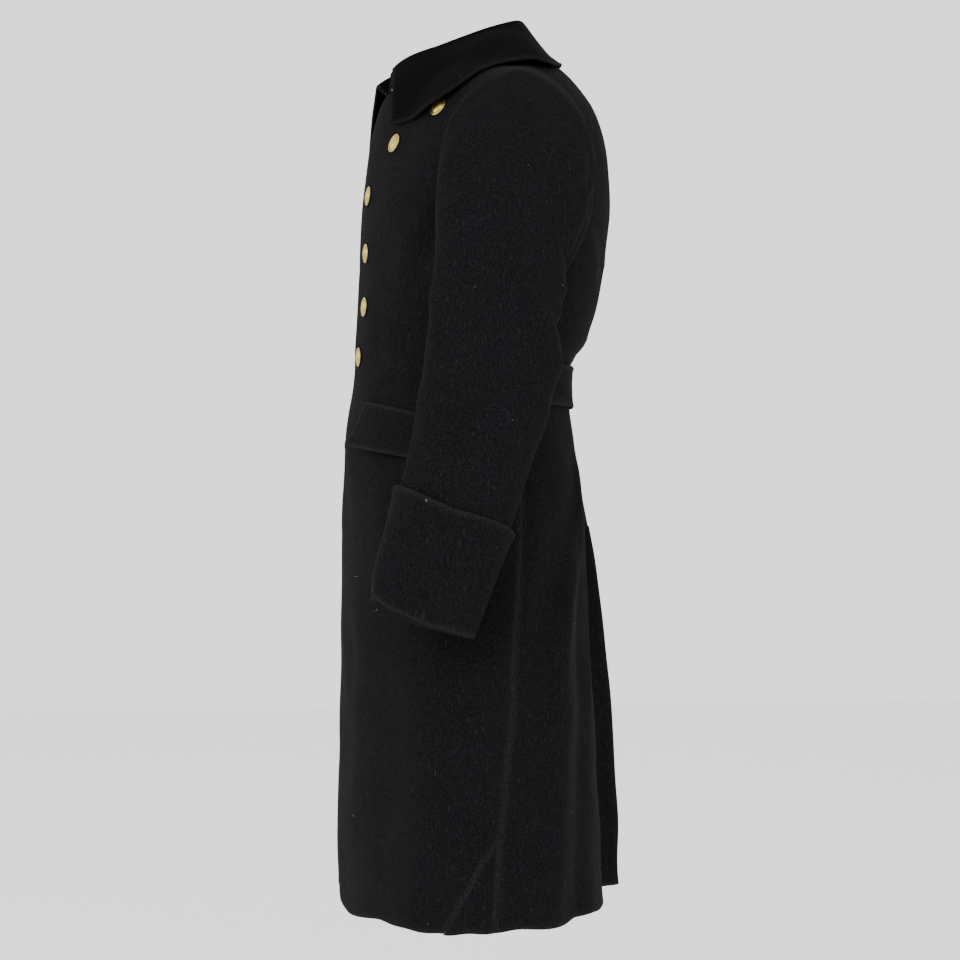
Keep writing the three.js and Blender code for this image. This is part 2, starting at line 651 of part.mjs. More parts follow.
// top sleeve runs over the shoulder side, under sleeve closes the inner side
for (const side of [1, -1]) {
  const word = side > 0 ? 'left' : 'right';
  const loops = sleeveLoops(side);
  const normals = loops.map((loop, j) => loop.map((p, i) => {
    const before = loops[j][(i + sleeveSegments - 1) % sleeveSegments];
    const after = loops[j][(i + 1) % sleeveSegments];
    const up = loops[Math.max(0, j - 1)][i];
    const down = loops[Math.min(loops.length - 1, j + 1)][i];
    return after.clone().sub(before).cross(down.clone().sub(up)).normalize().multiplyScalar(-side);
  }));
  const pick = (from, to) => {
    const list = [];
    for (let i = from; i <= to; i += 1) list.push((i + sleeveSegments) % sleeveSegments);
    return list;
  };
  const topColumns = pick(4, 18);
  const underColumns = pick(-4, 4);
  for (const [name, columns] of [['top_sleeve', topColumns], ['under_sleeve', underColumns]]) {
    const outer = loops.map((loop) => columns.map((i) => loop[i].clone()));
    const outward = normals.map((row) => columns.map((i) => row[i]));
    addPiece(`${name}_${word}`, panel(outer, outward, wall, sideTrim), cloth);
  }

  // turn-back cuff: a loose band over the lower sleeve
  const lower = loops.slice(-4);
  const lowerNormals = normals.slice(-4);
  const cuffRows = [
    { at: 3.06, lift: 3.9 },
    { at: 2.4, lift: 4.3 },
    { at: 1.5, lift: 5 },
    { at: 0.6, lift: 6.2 },
  ];
  const cuffLoop = (row, extra) => loops[0].map((unused, i) => {
    const toTop = clamp((cuffRows[0].at - row.at) / (cuffRows[0].at - cuffRows[3].at));
    const at = row.at - cuffTilt * Math.cos(sleeveAngle(i) * rad) * toTop;
    const k = Math.min(2, Math.floor(at));
    const t = at - k;
    const p = lower[k][i].clone().addScaledVector(lower[k + 1][i].clone().sub(lower[k][i]), t);
    return p.addScaledVector(lowerNormals[k][i], row.lift + extra);
  });
  const cuffOuter = cuffRows.map((row) => cuffLoop(row, 0));
  const cuffInner = cuffRows.map((row) => cuffLoop(row, -collarWall));
  addPiece(`cuff_${word}`, band(cuffOuter, cuffInner), cloth);
}

// collar: stand from the neck seam up to the fold, fall from the fold down to the lip
const collarSteps = 30;
const collarAt = (key, share) => {
  const rows = collarStations.map((row, i) => ({ ...row, i }));
  return along(rows, 'i', key, (rows.length - 1) * (1 - Math.abs(share)));
};

// nearest point of the body below a point, and how far that point stands off it
const samples = [];
for (let angle = -180; angle < 180; angle += 4) {
  for (let rise = 0; rise <= 1; rise += 0.05) {
    samples.push({ p: bodyPoint(angle, chestZ, rise), n: bodyNormal(angle, chestZ, rise) });
  }
}
function standOff(p, plain) {
  const near = Math.min(...coveredButtons.map((button) => button.distanceTo(p)));
  const need = plain + coveredLift * Math.exp(-((near / coveredReach) ** 2));
  for (let pass = 0; pass < 3; pass += 1) {
    let best = samples[0];
    let least = Infinity;
    for (const sample of samples) {
      const d = sample.p.distanceToSquared(p);
      if (d < least) {
        least = d;
        best = sample;
      }
    }
    const off = p.clone().sub(best.p).dot(best.n);
    if (off < need) p.addScaledVector(best.n, need - off);
  }
  return p;
}

const collarRows = [];
const collarOutward = [];
for (let i = 0; i <= collarSteps; i += 1) {
  const share = 1 - 2 * i / collarSteps;
  const side = Math.sign(share) || 1;
  const near = (key) => collarAt(key, share);
  const seat = neckPoint(side * near('seam'));
  seat.x *= 0.975;
  seat.y += 1.8 * Math.cos(side * near('seam') * rad);
  seat.z += 2.6;
  const fold = new THREE.Vector3(side * near('fx'), near('fy'), near('fz'));
  const lip = new THREE.Vector3(side * near('lx'), near('ly'), near('lz'));
  const droop = side < 0 ? ease((Math.abs(share) - 0.6) / 0.4) : 0;
  fold.addScaledVector(foldDroop, droop);
  lip.addScaledVector(lipDroop, droop);
  const outFlat = new THREE.Vector3(lip.x - fold.x, lip.y - fold.y, 0).normalize();
  const stand = (t) => seat.clone().lerp(fold, t);
  const fall = (t) => fold.clone().lerp(lip, t).addScaledVector(outFlat, 7 * (1 - t))
    .add(new THREE.Vector3(0, 0, near('swell') * Math.sin(Math.PI * t)));
  const points = [
    seat,
    stand(0.5).addScaledVector(outFlat, -1),
    stand(0.86).addScaledVector(outFlat, -1.5),
    fold.clone().add(new THREE.Vector3(0, 0, 1)),
    fold.clone().addScaledVector(outFlat, 5).add(new THREE.Vector3(0, 0, 2.5)),
    fold.clone().addScaledVector(outFlat, 10).add(new THREE.Vector3(0, 0, -2)),
    standOff(fall(0.3), collarLift),
    standOff(fall(0.53), collarLift),
    standOff(fall(0.77), collarLift),
    standOff(fall(1), collarLift),
  ];
  collarRows.push(points);
}
addPiece('collar', panel(collarRows, gridOutward(collarRows, 1), collarWall, {}), collarCloth);

// pocket flaps, slanting down to the back, free along the lower edge
for (const side of [1, -1]) {
  const word = side > 0 ? 'left' : 'right';
  const rows = [0, 0.3, 0.65, 1];
  const columns = [0, 0.5, 1, 1.5, 2, 2.5, 3];
  const spot = (at, t) => {
    const k = Math.min(2, Math.floor(at));
    const value = (key) => lerp(flapColumns[k][key], flapColumns[k + 1][key], at - k);
    const angle = side * lerp(value('topAngle'), value('lowAngle'), t);
    const z = lerp(value('topZ'), value('lowZ'), t);
    const normal = bodyNormal(angle, z);
    const lift = flapLift + value(word) * t * t;
    return { p: bodyPoint(angle, z).addScaledVector(normal, lift), n: normal };
  };
  const grid = rows.map((t) => columns.map((at) => spot(at, t)));
  const outer = grid.map((row) => row.map((entry) => entry.p));
  const outward = grid.map((row) => row.map((entry) => entry.n));
  addPiece(`pocket_flap_${word}`, panel(outer, outward, trimWall, {}), cloth);
}

// half belt over the back waist
const beltAngles = spread([108, 180], [9]).concat(spread([-180, -108], [9]).slice(1));
const beltGrid = beltRows.map((z) => beltAngles.map((angle) => {
  const flare = beltFlare * ((z - beltRows[1]) / (beltRows[1] - beltRows[0])) ** 2;
  const normal = bodyNormal(angle === -180 ? 180 : angle, z);
  return { p: bodyPoint(angle, z).addScaledVector(normal, beltLift + flare), n: normal };
}));
addPiece('half_belt', panel(
  beltGrid.map((row) => row.map((entry) => entry.p)),
  beltGrid.map((row) => row.map((entry) => entry.n)),
  trimWall,
  {},
), cloth);

// low domed buttons with a plain raised rim: radius and height of each profile point
const buttonProfile = [
  [0, 0], [10.6, 0], [12, 0.9], [12, 1.7],
  [10.8, 2.3], [9.6, 1.8], [6.5, 3.6], [0, 4.6],
];

function bodySpotAt(side, x, z) {
  let best = null;
  for (let angle = 2; angle < 80; angle += 0.5) {
    for (let rise = 0; rise <= 0.8; rise += 0.01) {
      if (z < chestZ && rise > 0) break;
      const signed = side * angle;
      const base = z < chestZ ? z : chestZ;
      const p = bodyPoint(signed, base, rise);
      const off = (Math.abs(p.x) - x) ** 2 + (p.z - z) ** 2;
      if (!best || off < best.off) best = { off, p, n: bodyNormal(signed, base, rise) };
    }
  }
  return best;
}

for (const side of [1, -1]) {
  buttonSpots.forEach((spot, i) => {
    const found = bodySpotAt(side, side > 0 ? spot.leftX : spot.rightX, spot.z);
    const profile = buttonProfile.map(([r, h]) => new THREE.Vector2(r, h));
    const geometry = new THREE.LatheGeometry(profile, 10);
    geometry.rotateX(Math.PI / 2);
    const turn = new THREE.Quaternion().setFromUnitVectors(new THREE.Vector3(0, 0, 1), found.n);
    geometry.applyQuaternion(turn);
    const at = found.p.clone().addScaledVector(found.n, 1.1 - (side > 0 ? spot.left : spot.right));
    geometry.translate(at.x, at.y, at.z);
    addPiece(`button_${side > 0 ? 'left' : 'right'}_${i + 1}`, geometry, brass);
  });
}

export default coat;
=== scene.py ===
import math
import bpy
import numpy as np
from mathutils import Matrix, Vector


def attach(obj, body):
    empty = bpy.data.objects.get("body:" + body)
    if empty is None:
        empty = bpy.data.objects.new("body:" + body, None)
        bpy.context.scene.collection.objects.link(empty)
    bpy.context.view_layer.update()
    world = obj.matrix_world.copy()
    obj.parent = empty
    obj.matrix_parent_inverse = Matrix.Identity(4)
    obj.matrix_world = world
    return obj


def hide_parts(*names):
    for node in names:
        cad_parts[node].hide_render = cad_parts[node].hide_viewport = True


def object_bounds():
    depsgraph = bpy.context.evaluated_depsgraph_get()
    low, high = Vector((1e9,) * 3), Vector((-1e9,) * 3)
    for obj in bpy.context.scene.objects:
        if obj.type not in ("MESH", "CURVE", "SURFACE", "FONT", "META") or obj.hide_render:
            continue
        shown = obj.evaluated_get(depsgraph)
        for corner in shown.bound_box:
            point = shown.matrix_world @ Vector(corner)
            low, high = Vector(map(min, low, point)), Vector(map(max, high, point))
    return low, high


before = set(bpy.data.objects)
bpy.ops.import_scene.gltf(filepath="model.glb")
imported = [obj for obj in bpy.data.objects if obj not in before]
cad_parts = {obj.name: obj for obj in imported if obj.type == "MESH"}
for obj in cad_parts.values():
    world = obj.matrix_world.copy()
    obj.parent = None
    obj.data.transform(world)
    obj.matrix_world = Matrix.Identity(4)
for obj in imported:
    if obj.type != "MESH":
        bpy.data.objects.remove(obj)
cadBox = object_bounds()
print("frame loaded")


def table(names, rows):
    # one small dictionary for each row
    return [dict(zip(names.split(), row)) for row in rows]


# ---- camera, floor and lights ----

studio = {
    "cameraAzimuth": 82.0,      # degrees round from the front, on the wearer's left
    "cameraAway": 3.0,
    "cameraHeight": -0.538,     # level with the middle of the coat
    "cameraLens": 86.5,
    "floorDrop": 0.36,          # below the hem
}


def placeCamera():
    turn = math.radians(studio["cameraAzimuth"])
    aim = Vector((0, 0, studio["cameraHeight"]))
    away = Vector((math.sin(turn), -math.cos(turn), 0)) * studio["cameraAway"]
    lens = bpy.data.cameras.new("coatCamera")
    lens.lens = studio["cameraLens"]
    lens.sensor_width = 36
    camera = bpy.data.objects.new("coatCamera", lens)
    camera.location = aim + away
    camera.rotation_euler = (-away).to_track_quat("-Z", "Y").to_euler()
    bpy.context.collection.objects.link(camera)
    bpy.context.scene.camera = camera


def addSoftLight(name, place, aim, size, power, colour=(1, 1, 1)):
    lamp = bpy.data.lights.new(name, "AREA")
    lamp.shape = "SQUARE"
    lamp.size = size
    lamp.energy = power
    lamp.color = colour
    light = bpy.data.objects.new(name, lamp)
    light.location = place
    light.rotation_euler = (Vector(aim) - Vector(place)).to_track_quat("-Z", "Y").to_euler()
    bpy.context.collection.objects.link(light)


def lightStudio():
    addSoftLight("keyLight", (3.0, -2.0, 1.1), (0, 0, -0.4), 1.6, 70)
    addSoftLight("backLight", (1.6, 3.0, 0.8), (0, 0, -0.5), 1.4, 30)
    addSoftLight("frontLight", (-0.6, -3.2, 0.4), (0, 0, -0.5), 1.4, 22)
    world = bpy.data.worlds.new("paleStudio")
    world.use_nodes = True
    backdrop = world.node_tree.nodes["Background"]
    backdrop.inputs["Color"].default_value = (1, 1, 1, 1)
    backdrop.inputs["Strength"].default_value = 1.7
    bpy.context.scene.world = world


def layFloor():
    half = 6
    height = cadBox[0][2] - studio["floorDrop"]
    mesh = bpy.data.meshes.new("studioFloor")
    corners = [(-half, -half, height), (half, -half, height), (half, half, height), (-half, half, height)]
    mesh.from_pydata(corners, [], [(0, 1, 2, 3)])
    floor = bpy.data.objects.new("studioFloor", mesh)
    paint = bpy.data.materials.new("paleFloor")
    paint.use_nodes = True
    shader = paint.node_tree.nodes["Principled BSDF"]
    shader.inputs["Base Color"].default_value = (0.92, 0.92, 0.92, 1)
    shader.inputs["Roughness"].default_value = 0.8
    mesh.materials.append(paint)
    bpy.context.collection.objects.link(floor)


placeCamera()
lightStudio()
layFloor()
print("studio set")

# ---- the coat's own form, in millimetres, front -Y, wearer's left +X ----

body = {
    "wall": 3.0,
    "chestZ": -265.0,
    "hemZ": -1068.0,
    "wedgeTopZ": -953.0,
    "wedgeTurn": 23.0,          # degrees of the hem that the pieced wedge takes
    "backMiddle": 179.99,       # just short of the seam, on the right side of it
    "neckColumn": 40.0,
    "frontArm": 64.0,
    "backArm": 127.0,
    "armRise": 0.25,
    "lapInset": 3.9,
    "perDegree": 3.1,           # millimetres round the waist to one degree
    "shoulder": (227.0, 21.0, -43.0),
    "levels": table("z front back backLeft half wide square", [
        (-1068, 182, 184, 152, 318, -40, 0.02), (-1001, 183, 182, 148, 309, -38, 0.02),
        (-938, 182, 180, 145, 299, -35, 0.03), (-876, 180, 177, 142, 289, -32, 0.03),
        (-814, 179, 172, 139, 278, -29, 0.04), (-751, 178, 166, 133, 267, -26, 0.04),
        (-689, 178, 158, 130, 255, -23, 0.05), (-627, 178, 149, 125, 242, -19, 0.06),
        (-564, 177, 137, 122, 226, -15, 0.06), (-512, 176, 121, 117, 210, -11, 0.07),
        (-450, 171, 110, 110, 195, -7, 0.07), (-397, 164, 109, 109, 190, -3, 0.07),
        (-367, 163, 127, 127, 195, 0, 0.07), (-325, 161, 142, 142, 205, 2, 0.08),
        (-265, 157, 155, 155, 213, 5, 0.08),
    ]),
    # angle of the side seam, and how far the right side of the front falls back
    "sideSeam": table("z angle dent", [
        (-1068, 94, 0), (-1001, 95, 0), (-938, 96.5, 0), (-876, 98, 0), (-814, 100, 0), (-751, 101, 0),
        (-689, 103, 0), (-627, 104.5, 0), (-564, 105, 0), (-512, 104, 2), (-450, 102, 6),
        (-397, 100, 8), (-367, 97, 8), (-325, 94, 8), (-265, 91, 8),
    ]),
    "foldFade": 130.0,          # how far down a fold takes to open out
    "lapelDrop": 0.42,          # how much lower the lapel's top lies at its far end
    "lapelTurn": 50.0,
    "dentAngle": -21.0,
    "dentAcross": 13.0,
    "bladeSwell": table("rise push", [
        (0, 0), (0.1, 6), (0.25, 10), (0.45, 5), (0.6, -2), (0.75, -5), (1, 0),
    ]),
    "lapEdge": table("z angle", [
        (-1068, 15), (-900, 16), (-700, 18), (-560, 21.5), (-450, 25), (-318, 26), (-265, 27.5),
    ]),
    "lapelEdge": table("rise angle", [
        (0, 27.5), (0.3, 31), (0.6, 38), (0.85, 47), (1, 50),
    ]),
    "ventEdge": table("z angle", [
        (-1068, 157), (-900, 160), (-751, 164), (-640, 170.5), (-600, 176), (-570, 180), (-265, 180),
    ]),
    # the skirt's main ridges and troughs, three points down each; left is positive
    "folds": table("z1 a1 z2 a2 z3 a3 across rise", [
        (-500, 160, -690, 128, -1068, 115, 26, 13), (-560, 150, -720, 141, -1068, 131, 24, -9),
        (-560, 128, -760, 112, -1068, 99, 28, -7), (-620, 70, -800, 64, -1068, 58, 34, 6),
        (-620, 46, -800, 44, -1068, 42, 30, -4), (-500, -158, -700, -134, -1068, -124, 28, 11),
        (-580, -148, -740, -150, -1068, -146, 26, -8),
        (-560, -124, -760, -110, -1068, -100, 28, -7),
        (-620, -66, -800, -62, -1068, -55, 34, 6),
    ]),
    # smaller creases, one by one: from one end to the other, half breadth and rise
    "creases": table("a1 z1 a2 z2 across rise", [
        (30, -419, 61, -432, 5, -3.0), (33, -408, 58, -419, 8, 2.0),
        (62, -205, 50, -300, 13, -3.5), (58, -180, 41, -275, 15, 2.6),
        (74, -300, 52, -395, 16, 2.4), (34, -300, 30, -405, 15, -1.8),
        (148, -505, 138, -610, 12, 3.6), (168, -470, 160, -640, 10, 3.2),
        (157, -440, 151, -560, 9, -3.0), (172, -430, 170, -520, 8, -2.4),
        (128, -369, 178, -364, 9, 2.0), (122, -383, 179, -382, 5, -1.8),
        (134, -212, 150, -300, 14, -2.6), (149, -513, 130, -635, 8, 3.0),
        (129, -640, 118, -840, 9, 2.8), (140, -560, 126, -800, 10, -3.0),
        (117, -850, 114, -1010, 12, 2.0), (162, -560, 147, -820, 9, 2.6),
        (24, -640, 21, -1000, 24, 2.2), (84, -700, 79, -1040, 18, 2.8),
        (-30, -421, -59, -430, 5, -2.6), (-62, -200, -49, -290, 14, -3.2),
        (-57, -178, -42, -270, 15, 2.2), (-72, -310, -54, -390, 15, 2.2),
        (-146, -500, -136, -600, 12, 3.2), (-166, -470, -163, -600, 10, 2.6),
        (-156, -440, -150, -540, 9, -2.6), (-126, -371, -177, -367, 9, 1.9),
        (-136, -215, -152, -296, 14, -2.4), (-26, -650, -25, -980, 22, 2.0),
    ]),
    # how far out each button sits, how high, and how far its base sinks
    "buttonSpots": table("leftX rightX z left right", [
        (167, 146, -82, 1.35, 0.8), (112, 110, -119, 1.0, 0.8), (54, 82, -178, 0.75, 0.5),
        (64, 78, -252, 0.8, 0.7), (72, 72, -320, 0.5, 0.6), (48, 66, -382, 0.3, 0.5),
    ]),
}

neck = {
    "side": 78.0, "midY": -28.0, "frontY": -120.0, "backY": 60.0,
    "frontZ": -42.0, "backZ": 6.0, "shoulderTurn": 115.6,
}


def ease(value):
    t = np.clip(value, 0, 1)
    return t * t * (3 - 2 * t)


def lerp(a, b, t):
    return a + (b - a) * t


def along(rows, key, column, where):
    # smooth curve through one column of a table
    rows = sorted(rows, key=lambda row: row[key])
    xs = np.array([row[key] for row in rows], float)
    ys = np.array([row[column] for row in rows], float)
    at = np.clip(np.asarray(where, float), xs[0], xs[-1])
    i = np.clip(np.searchsorted(xs, at, side="right") - 1, 0, len(xs) - 2)
    span = np.diff(xs)
    rise = np.diff(ys) / span
    slope = np.empty(len(xs))
    slope[0] = rise[0]
    slope[-1] = rise[-1]
    slope[1:-1] = (ys[2:] - ys[:-2]) / (xs[2:] - xs[:-2])

    def held(m, r):
        return np.where(m * r <= 0, 0, np.sign(m) * np.minimum(np.abs(m), 3 * np.abs(r)))

    m0 = held(slope[i], rise[i]) * span[i]
    m1 = held(slope[i + 1], rise[i]) * span[i]
    t = (at - xs[i]) / span[i]
    start = (2 * t**3 - 3 * t**2 + 1) * ys[i] + (t**3 - 2 * t**2 + t) * m0
    return start + (3 * t**2 - 2 * t**3) * ys[i + 1] + (t**3 - t**2) * m1


def unit(vectors):
    return vectors / np.maximum(np.linalg.norm(vectors, axis=-1, keepdims=True), 1e-9)


def bell(off, across):
    return np.exp(-(off / across)**2)


def level(column, z):
    return along(body["levels"], "z", column, z)


def ripple(u, v, size, seed):
    # slow uneven swell of cloth, about one high
    draw = np.random.default_rng(seed)
    total = np.zeros(np.broadcast(u, v).shape)
    for k in range(9):
        turn = draw.uniform(0, 2 * math.pi)
        pace = 2 * math.pi / (size * draw.uniform(0.6, 1.7))
        phase = draw.uniform(0, 2 * math.pi)
        total += np.sin(pace * (u * math.cos(turn) + v * math.sin(turn)) + phase)
    return total / 3.2


def neckPoint(angle):
    t = np.radians(angle)
    c = np.cos(t)
    depth = np.where(c > 0, neck["midY"] - neck["frontY"], neck["backY"] - neck["midY"])
    y = neck["midY"] - c * depth
    share = (y - neck["frontY"]) / (neck["backY"] - neck["frontY"])
    return np.stack([neck["side"] * np.sin(t), y, lerp(neck["frontZ"], neck["backZ"], share)], -1)


def columnTop(angle):
    # where a column of the body ends, on the neck seam or on the shoulder seam
    side = np.where(angle < 0, -1.0, 1.0)
    a = np.abs(angle)
    isFront = a < 90
    armAt = np.where(isFront, body["frontArm"], body["backArm"])
    neckAt = np.where(isFront, body["neckColumn"], 180 - body["neckColumn"])
    toArm = (a - neckAt) / (armAt - neckAt)
    toNeck = np.where(isFront, a / neckAt, (180 - a) / (180 - neckAt))
    turn = neck["shoulderTurn"]
    seat = np.where(isFront, turn * toNeck, 180 - (180 - turn) * toNeck)
    top = neckPoint(np.clip(np.where(toArm > 0, turn, seat), 0, 180))
    t = np.clip(toArm, 0, 1)[..., None]
    top = lerp(top, np.array(body["shoulder"]), t)
    top[..., 0] *= side
    return top


def fullness(angle):
    a = np.abs(angle)
    fore = lerp(1.7, 2.6, np.clip(a / body["frontArm"], 0, 1))
    rear = lerp(3.1, 2.5, np.clip((180 - a) / (180 - body["backArm"]), 0, 1))
    return np.where(a < 90, fore, rear)


def arcAt(z):
    # millimetres of the body's girth to one degree
    return np.radians((level("half", z) + 150) / 2)


def foldRise(angle, z):
    total = np.zeros(np.broadcast(angle, z).shape)
    perDegree = arcAt(z)
    for fold in body["folds"]:
        upper = z > fold["z2"]
        shareUp = (z - fold["z1"]) / (fold["z2"] - fold["z1"])
        shareLow = (z - fold["z2"]) / (fold["z3"] - fold["z2"])
        high = lerp(fold["a1"], fold["a2"], shareUp)
        low = lerp(fold["a2"], fold["a3"], shareLow)
        off = (angle - np.where(upper, high, low)) * perDegree
        own = (z <= fold["z1"]) & (fold["a1"] * angle >= 0)
        fade = ease((fold["z1"] - z) / body["foldFade"])
        total += np.where(own, fold["rise"] * bell(off, fold["across"]) * fade, 0)
    return total


def creaseRise(angle, z):
    # smaller creases on the panels, each a soft line between two ends
    total = np.zeros(np.broadcast(angle, z).shape)
    perDegree = arcAt(z)
    for crease in body["creases"]:
        du = (crease["a2"] - crease["a1"]) * perDegree
        dv = crease["z2"] - crease["z1"]
        u = (angle - crease["a1"]) * perDegree
        v = z - crease["z1"]
        length = np.hypot(du, dv)
        t = (u * du + v * dv) / length**2
        off = (u * dv - v * du) / length + 5 * np.sin(math.pi * np.clip(t, 0, 1))
        fade = ease((t + 0.12) / 0.35) * ease((1.12 - t) / 0.35)
        total += crease["rise"] * bell(off, crease["across"]) * fade
    return total


def bodyRing(angle, z):
    t = np.radians(angle)
    c = np.cos(t)
    wide = level("wide", z)
    rear = np.where(angle > 0, level("backLeft", z), level("back", z))
    depth = np.where(c > 0, level("front", z) + wide, rear - wide)
    swell = 1 + level("square", z) * np.sin(2 * t)**2
    dent = along(body["sideSeam"], "z", "dent", z) * bell(angle - body["dentAngle"], body["dentAcross"])
    return level("half", z) * np.sin(t) * swell, wide - depth * c * swell + dent


def bodyPoint(angle, z, rise, small=1.0):
    angle, z, rise = np.broadcast_arrays(*(np.asarray(value, float) for value in (angle, z, rise)))
    x, y = bodyRing(angle, z)
    out = unit(np.stack([x, y - level("wide", z)], -1))
    low = rise <= 0
    top = columnTop(angle)
    power = 2 / fullness(angle)
    up = np.sin(rise * math.pi / 2)**power
    inward = 1 - np.clip(np.cos(rise * math.pi / 2), 0, 1)**power
    push = along(body["bladeSwell"], "rise", "push", rise) * ease((np.abs(angle) - 110) / 50)
    push = np.where(low, 0, push)
    point = np.stack([
        lerp(x, top[..., 0], inward),
        lerp(y, top[..., 1], inward) + push,
        lerp(z, top[..., 2], up),
    ], -1)
    lift = np.where(low, foldRise(angle, z), 0)
    # small creases and an uneven swell, fading out at the shoulder line
    fine = creaseRise(angle, point[..., 2])
    fine = fine + 0.9 * ripple(angle * body["perDegree"], point[..., 2], 90, 11)
    # the cloth is drawn flat under each button
    for spot in body["buttonSpots"]:
        x = np.where(angle > 0, spot["leftX"], -spot["rightX"])
        apart = (point[..., 0] - x)**2 + (point[..., 2] - spot["z"])**2
        fine = fine * (1 - np.where(point[..., 1] < 0, np.exp(-apart / 400), 0))
    lift = lift + small * fine * (1 - ease((rise - 0.45) / 0.4))
    point[..., 0] += out[..., 0] * lift
    point[..., 1] += out[..., 1] * lift
    return point


def spread(stops, counts):
    # columns between stops that may themselves change from row to row
    columns = [np.asarray(stops[0], float)]
    for k, count in enumerate(counts):
        for i in range(1, count + 1):
            columns.append(lerp(np.asarray(stops[k], float), np.asarray(stops[k + 1], float), i / count))
    return np.stack(np.broadcast_arrays(*columns), -1)


# ---- cloth shells ----

def ownNormals(grid, flip=1.0, closedRound=False):
    # outward directions worked out from the grid itself
    if closedRound:
        across = np.roll(grid, -1, axis=1) - np.roll(grid, 1, axis=1)
    else:
        across = np.gradient(grid, axis=1)
    up = np.gradient(grid, axis=0)
    return unit(flip * np.cross(across, up))


def shellMesh(name, outer, outward, thick, closedRound=False, rounding=0.55):
    # a closed cloth wall: outer grid, inner grid and a soft rim between them
    rows, columns = outer.shape[:2]
    reach = np.minimum(edgeReach(outer, "low"), edgeReach(outer, "high"))
    if not closedRound:
        reach = np.minimum(reach, np.minimum(edgeReach(outer, "first"), edgeReach(outer, "last")))
    # painted sheen mask, strongest at each panel's edges; the finish paints those edges paler
    paintedSheenAtEdges = bell(reach.ravel(), 4)
    inner = outer - outward * thick
    spots = [outer.reshape(-1, 3), inner.reshape(-1, 3)]
    size = rows * columns
    faces = []

    def grid(layer, flip):
        across = columns if closedRound else columns - 1
        j, i = np.meshgrid(np.arange(rows - 1), np.arange(across), indexing="ij")
        a = layer * size + j * columns + i
        b = layer * size + j * columns + (i + 1) % columns
        c = layer * size + (j + 1) * columns + (i + 1) % columns
        d = layer * size + (j + 1) * columns + i
        quad = np.stack([a, b, c, d] if not flip else [a, d, c, b], -1)
        faces.append(quad.reshape(-1, 4))

    grid(0, False)
    grid(1, True)
    # the rim's middle line stands a little proud of the wall's edge
    if closedRound:
        edges = [np.arange(columns), (rows - 1) * columns + np.arange(columns)]
    else:
        around = [(0, i) for i in range(columns)]
        around += [(j, columns - 1) for j in range(1, rows)]
        around += [(rows - 1, i) for i in range(columns - 2, -1, -1)]
        around += [(j, 0) for j in range(rows - 2, 0, -1)]
        edges = [np.array([j * columns + i for j, i in around])]
    flatOuter = outer.reshape(-1, 3)
    flatInner = inner.reshape(-1, 3)
    base = 2 * size
    for k, edge in enumerate(edges):
        count = len(edge)
        j, i = edge // columns, edge % columns
        if closedRound:
            back = np.where(j == 0, columns, -columns)
        else:
            back = np.where(j == 0, columns, 0) + np.where(j == rows - 1, -columns, 0)
            back += np.where(i == 0, 1, 0) + np.where(i == columns - 1, -1, 0)
        away = unit(flatOuter[edge] - flatOuter[edge + back])
        middle = (flatOuter[edge] + flatInner[edge]) / 2 + away * rounding
        spots.append(middle)
        mid = base + np.arange(count)
        base += count
        nextEdge = np.roll(edge, -1)
        nextMid = np.roll(mid, -1)
        low = [edge, mid, nextMid, nextEdge]
        high = [mid, edge + size, nextEdge + size, nextMid]
        for quad in (low, high):
            if closedRound and k == 1:
                quad = quad[::-1]
            faces.append(np.stack(quad, -1))
    points = np.concatenate(spots) * 0.001
    quads = np.concatenate(faces)
    mesh = bpy.data.meshes.new(name)
    mesh.vertices.add(len(points))
    mesh.vertices.foreach_set("co", points.ravel())
    mesh.loops.add(len(quads) * 4)
    mesh.loops.foreach_set("vertex_index", quads.ravel().astype(np.int32))
    mesh.polygons.add(len(quads))
    mesh.polygons.foreach_set("loop_start", np.arange(0, len(quads) * 4, 4, dtype=np.int32))
    mesh.polygons.foreach_set("use_smooth", np.ones(len(quads), bool))
    mesh.update(calc_edges=True)
    mesh.validate()
    if signedVolume(points, quads) < 0:
        mesh.flip_normals()
    # stores the painted sheen mask on every point of the piece
    full = np.concatenate([paintedSheenAtEdges, paintedSheenAtEdges, np.ones(len(points) - 2 * size)])
    mesh.attributes.new("paintedEdgeSheen", "FLOAT", "POINT").data.foreach_set("value", full.astype(np.float32))
    return mesh


def signedVolume(points, quads):
    a, b, c, d = (points[quads[:, k]] for k in range(4))
    return float((a * (np.cross(b, c) + np.cross(c, d))).sum()) / 6


def addPiece(name, mesh, node, finish):
    piece = bpy.data.objects.new(name, mesh)
    bpy.context.collection.objects.link(piece)
    mesh.materials.append(finish)
    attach(piece, "root")
    if node is not None:
        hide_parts(node)
    return piece


def bodyNormals(angle, z, rise):
    step = 0.5
    p = bodyPoint(angle - step, z, rise)
    q = bodyPoint(angle + step, z, rise)
    above = rise > 0
    lowZ = np.where(above, z, z - 2.0)
    highZ = np.where(above, z, np.minimum(body["chestZ"], z + 2.0))
    low = bodyPoint(angle, lowZ, np.where(above, np.maximum(0, rise - 0.02), 0))
    high = bodyPoint(angle, highZ, np.where(above, np.minimum(1, rise + 0.02), 0.0))
    nearChest = (~above) & (z > body["chestZ"] - 1)
    high = np.where(nearChest[..., None], bodyPoint(angle, z, np.full(z.shape, 0.01)), high)
    return unit(np.cross(q - p, high - low))


def side(z):
    return along(body["sideSeam"], "z", "angle", z)


def wedgeShare(z):
    return np.where(z < body["wedgeTopZ"], (body["wedgeTopZ"] - z) / (body["wedgeTopZ"] - body["hemZ"]), 0)


def armTurn(rise, power=0.8):
    share = np.clip(np.sin(rise * math.pi / 2)**power / math.sin(body["armRise"] * math.pi / 2)**power, 0, 1)
    return 1 - np.sqrt(np.clip(1 - (1 - share)**2, 0, 1))


def frontSide(z, rise):
    low = side(z) - body["wedgeTurn"] * wedgeShare(z)
    return np.where(rise > 0, lerp(body["frontArm"], side(body["chestZ"]), armTurn(rise)), low)


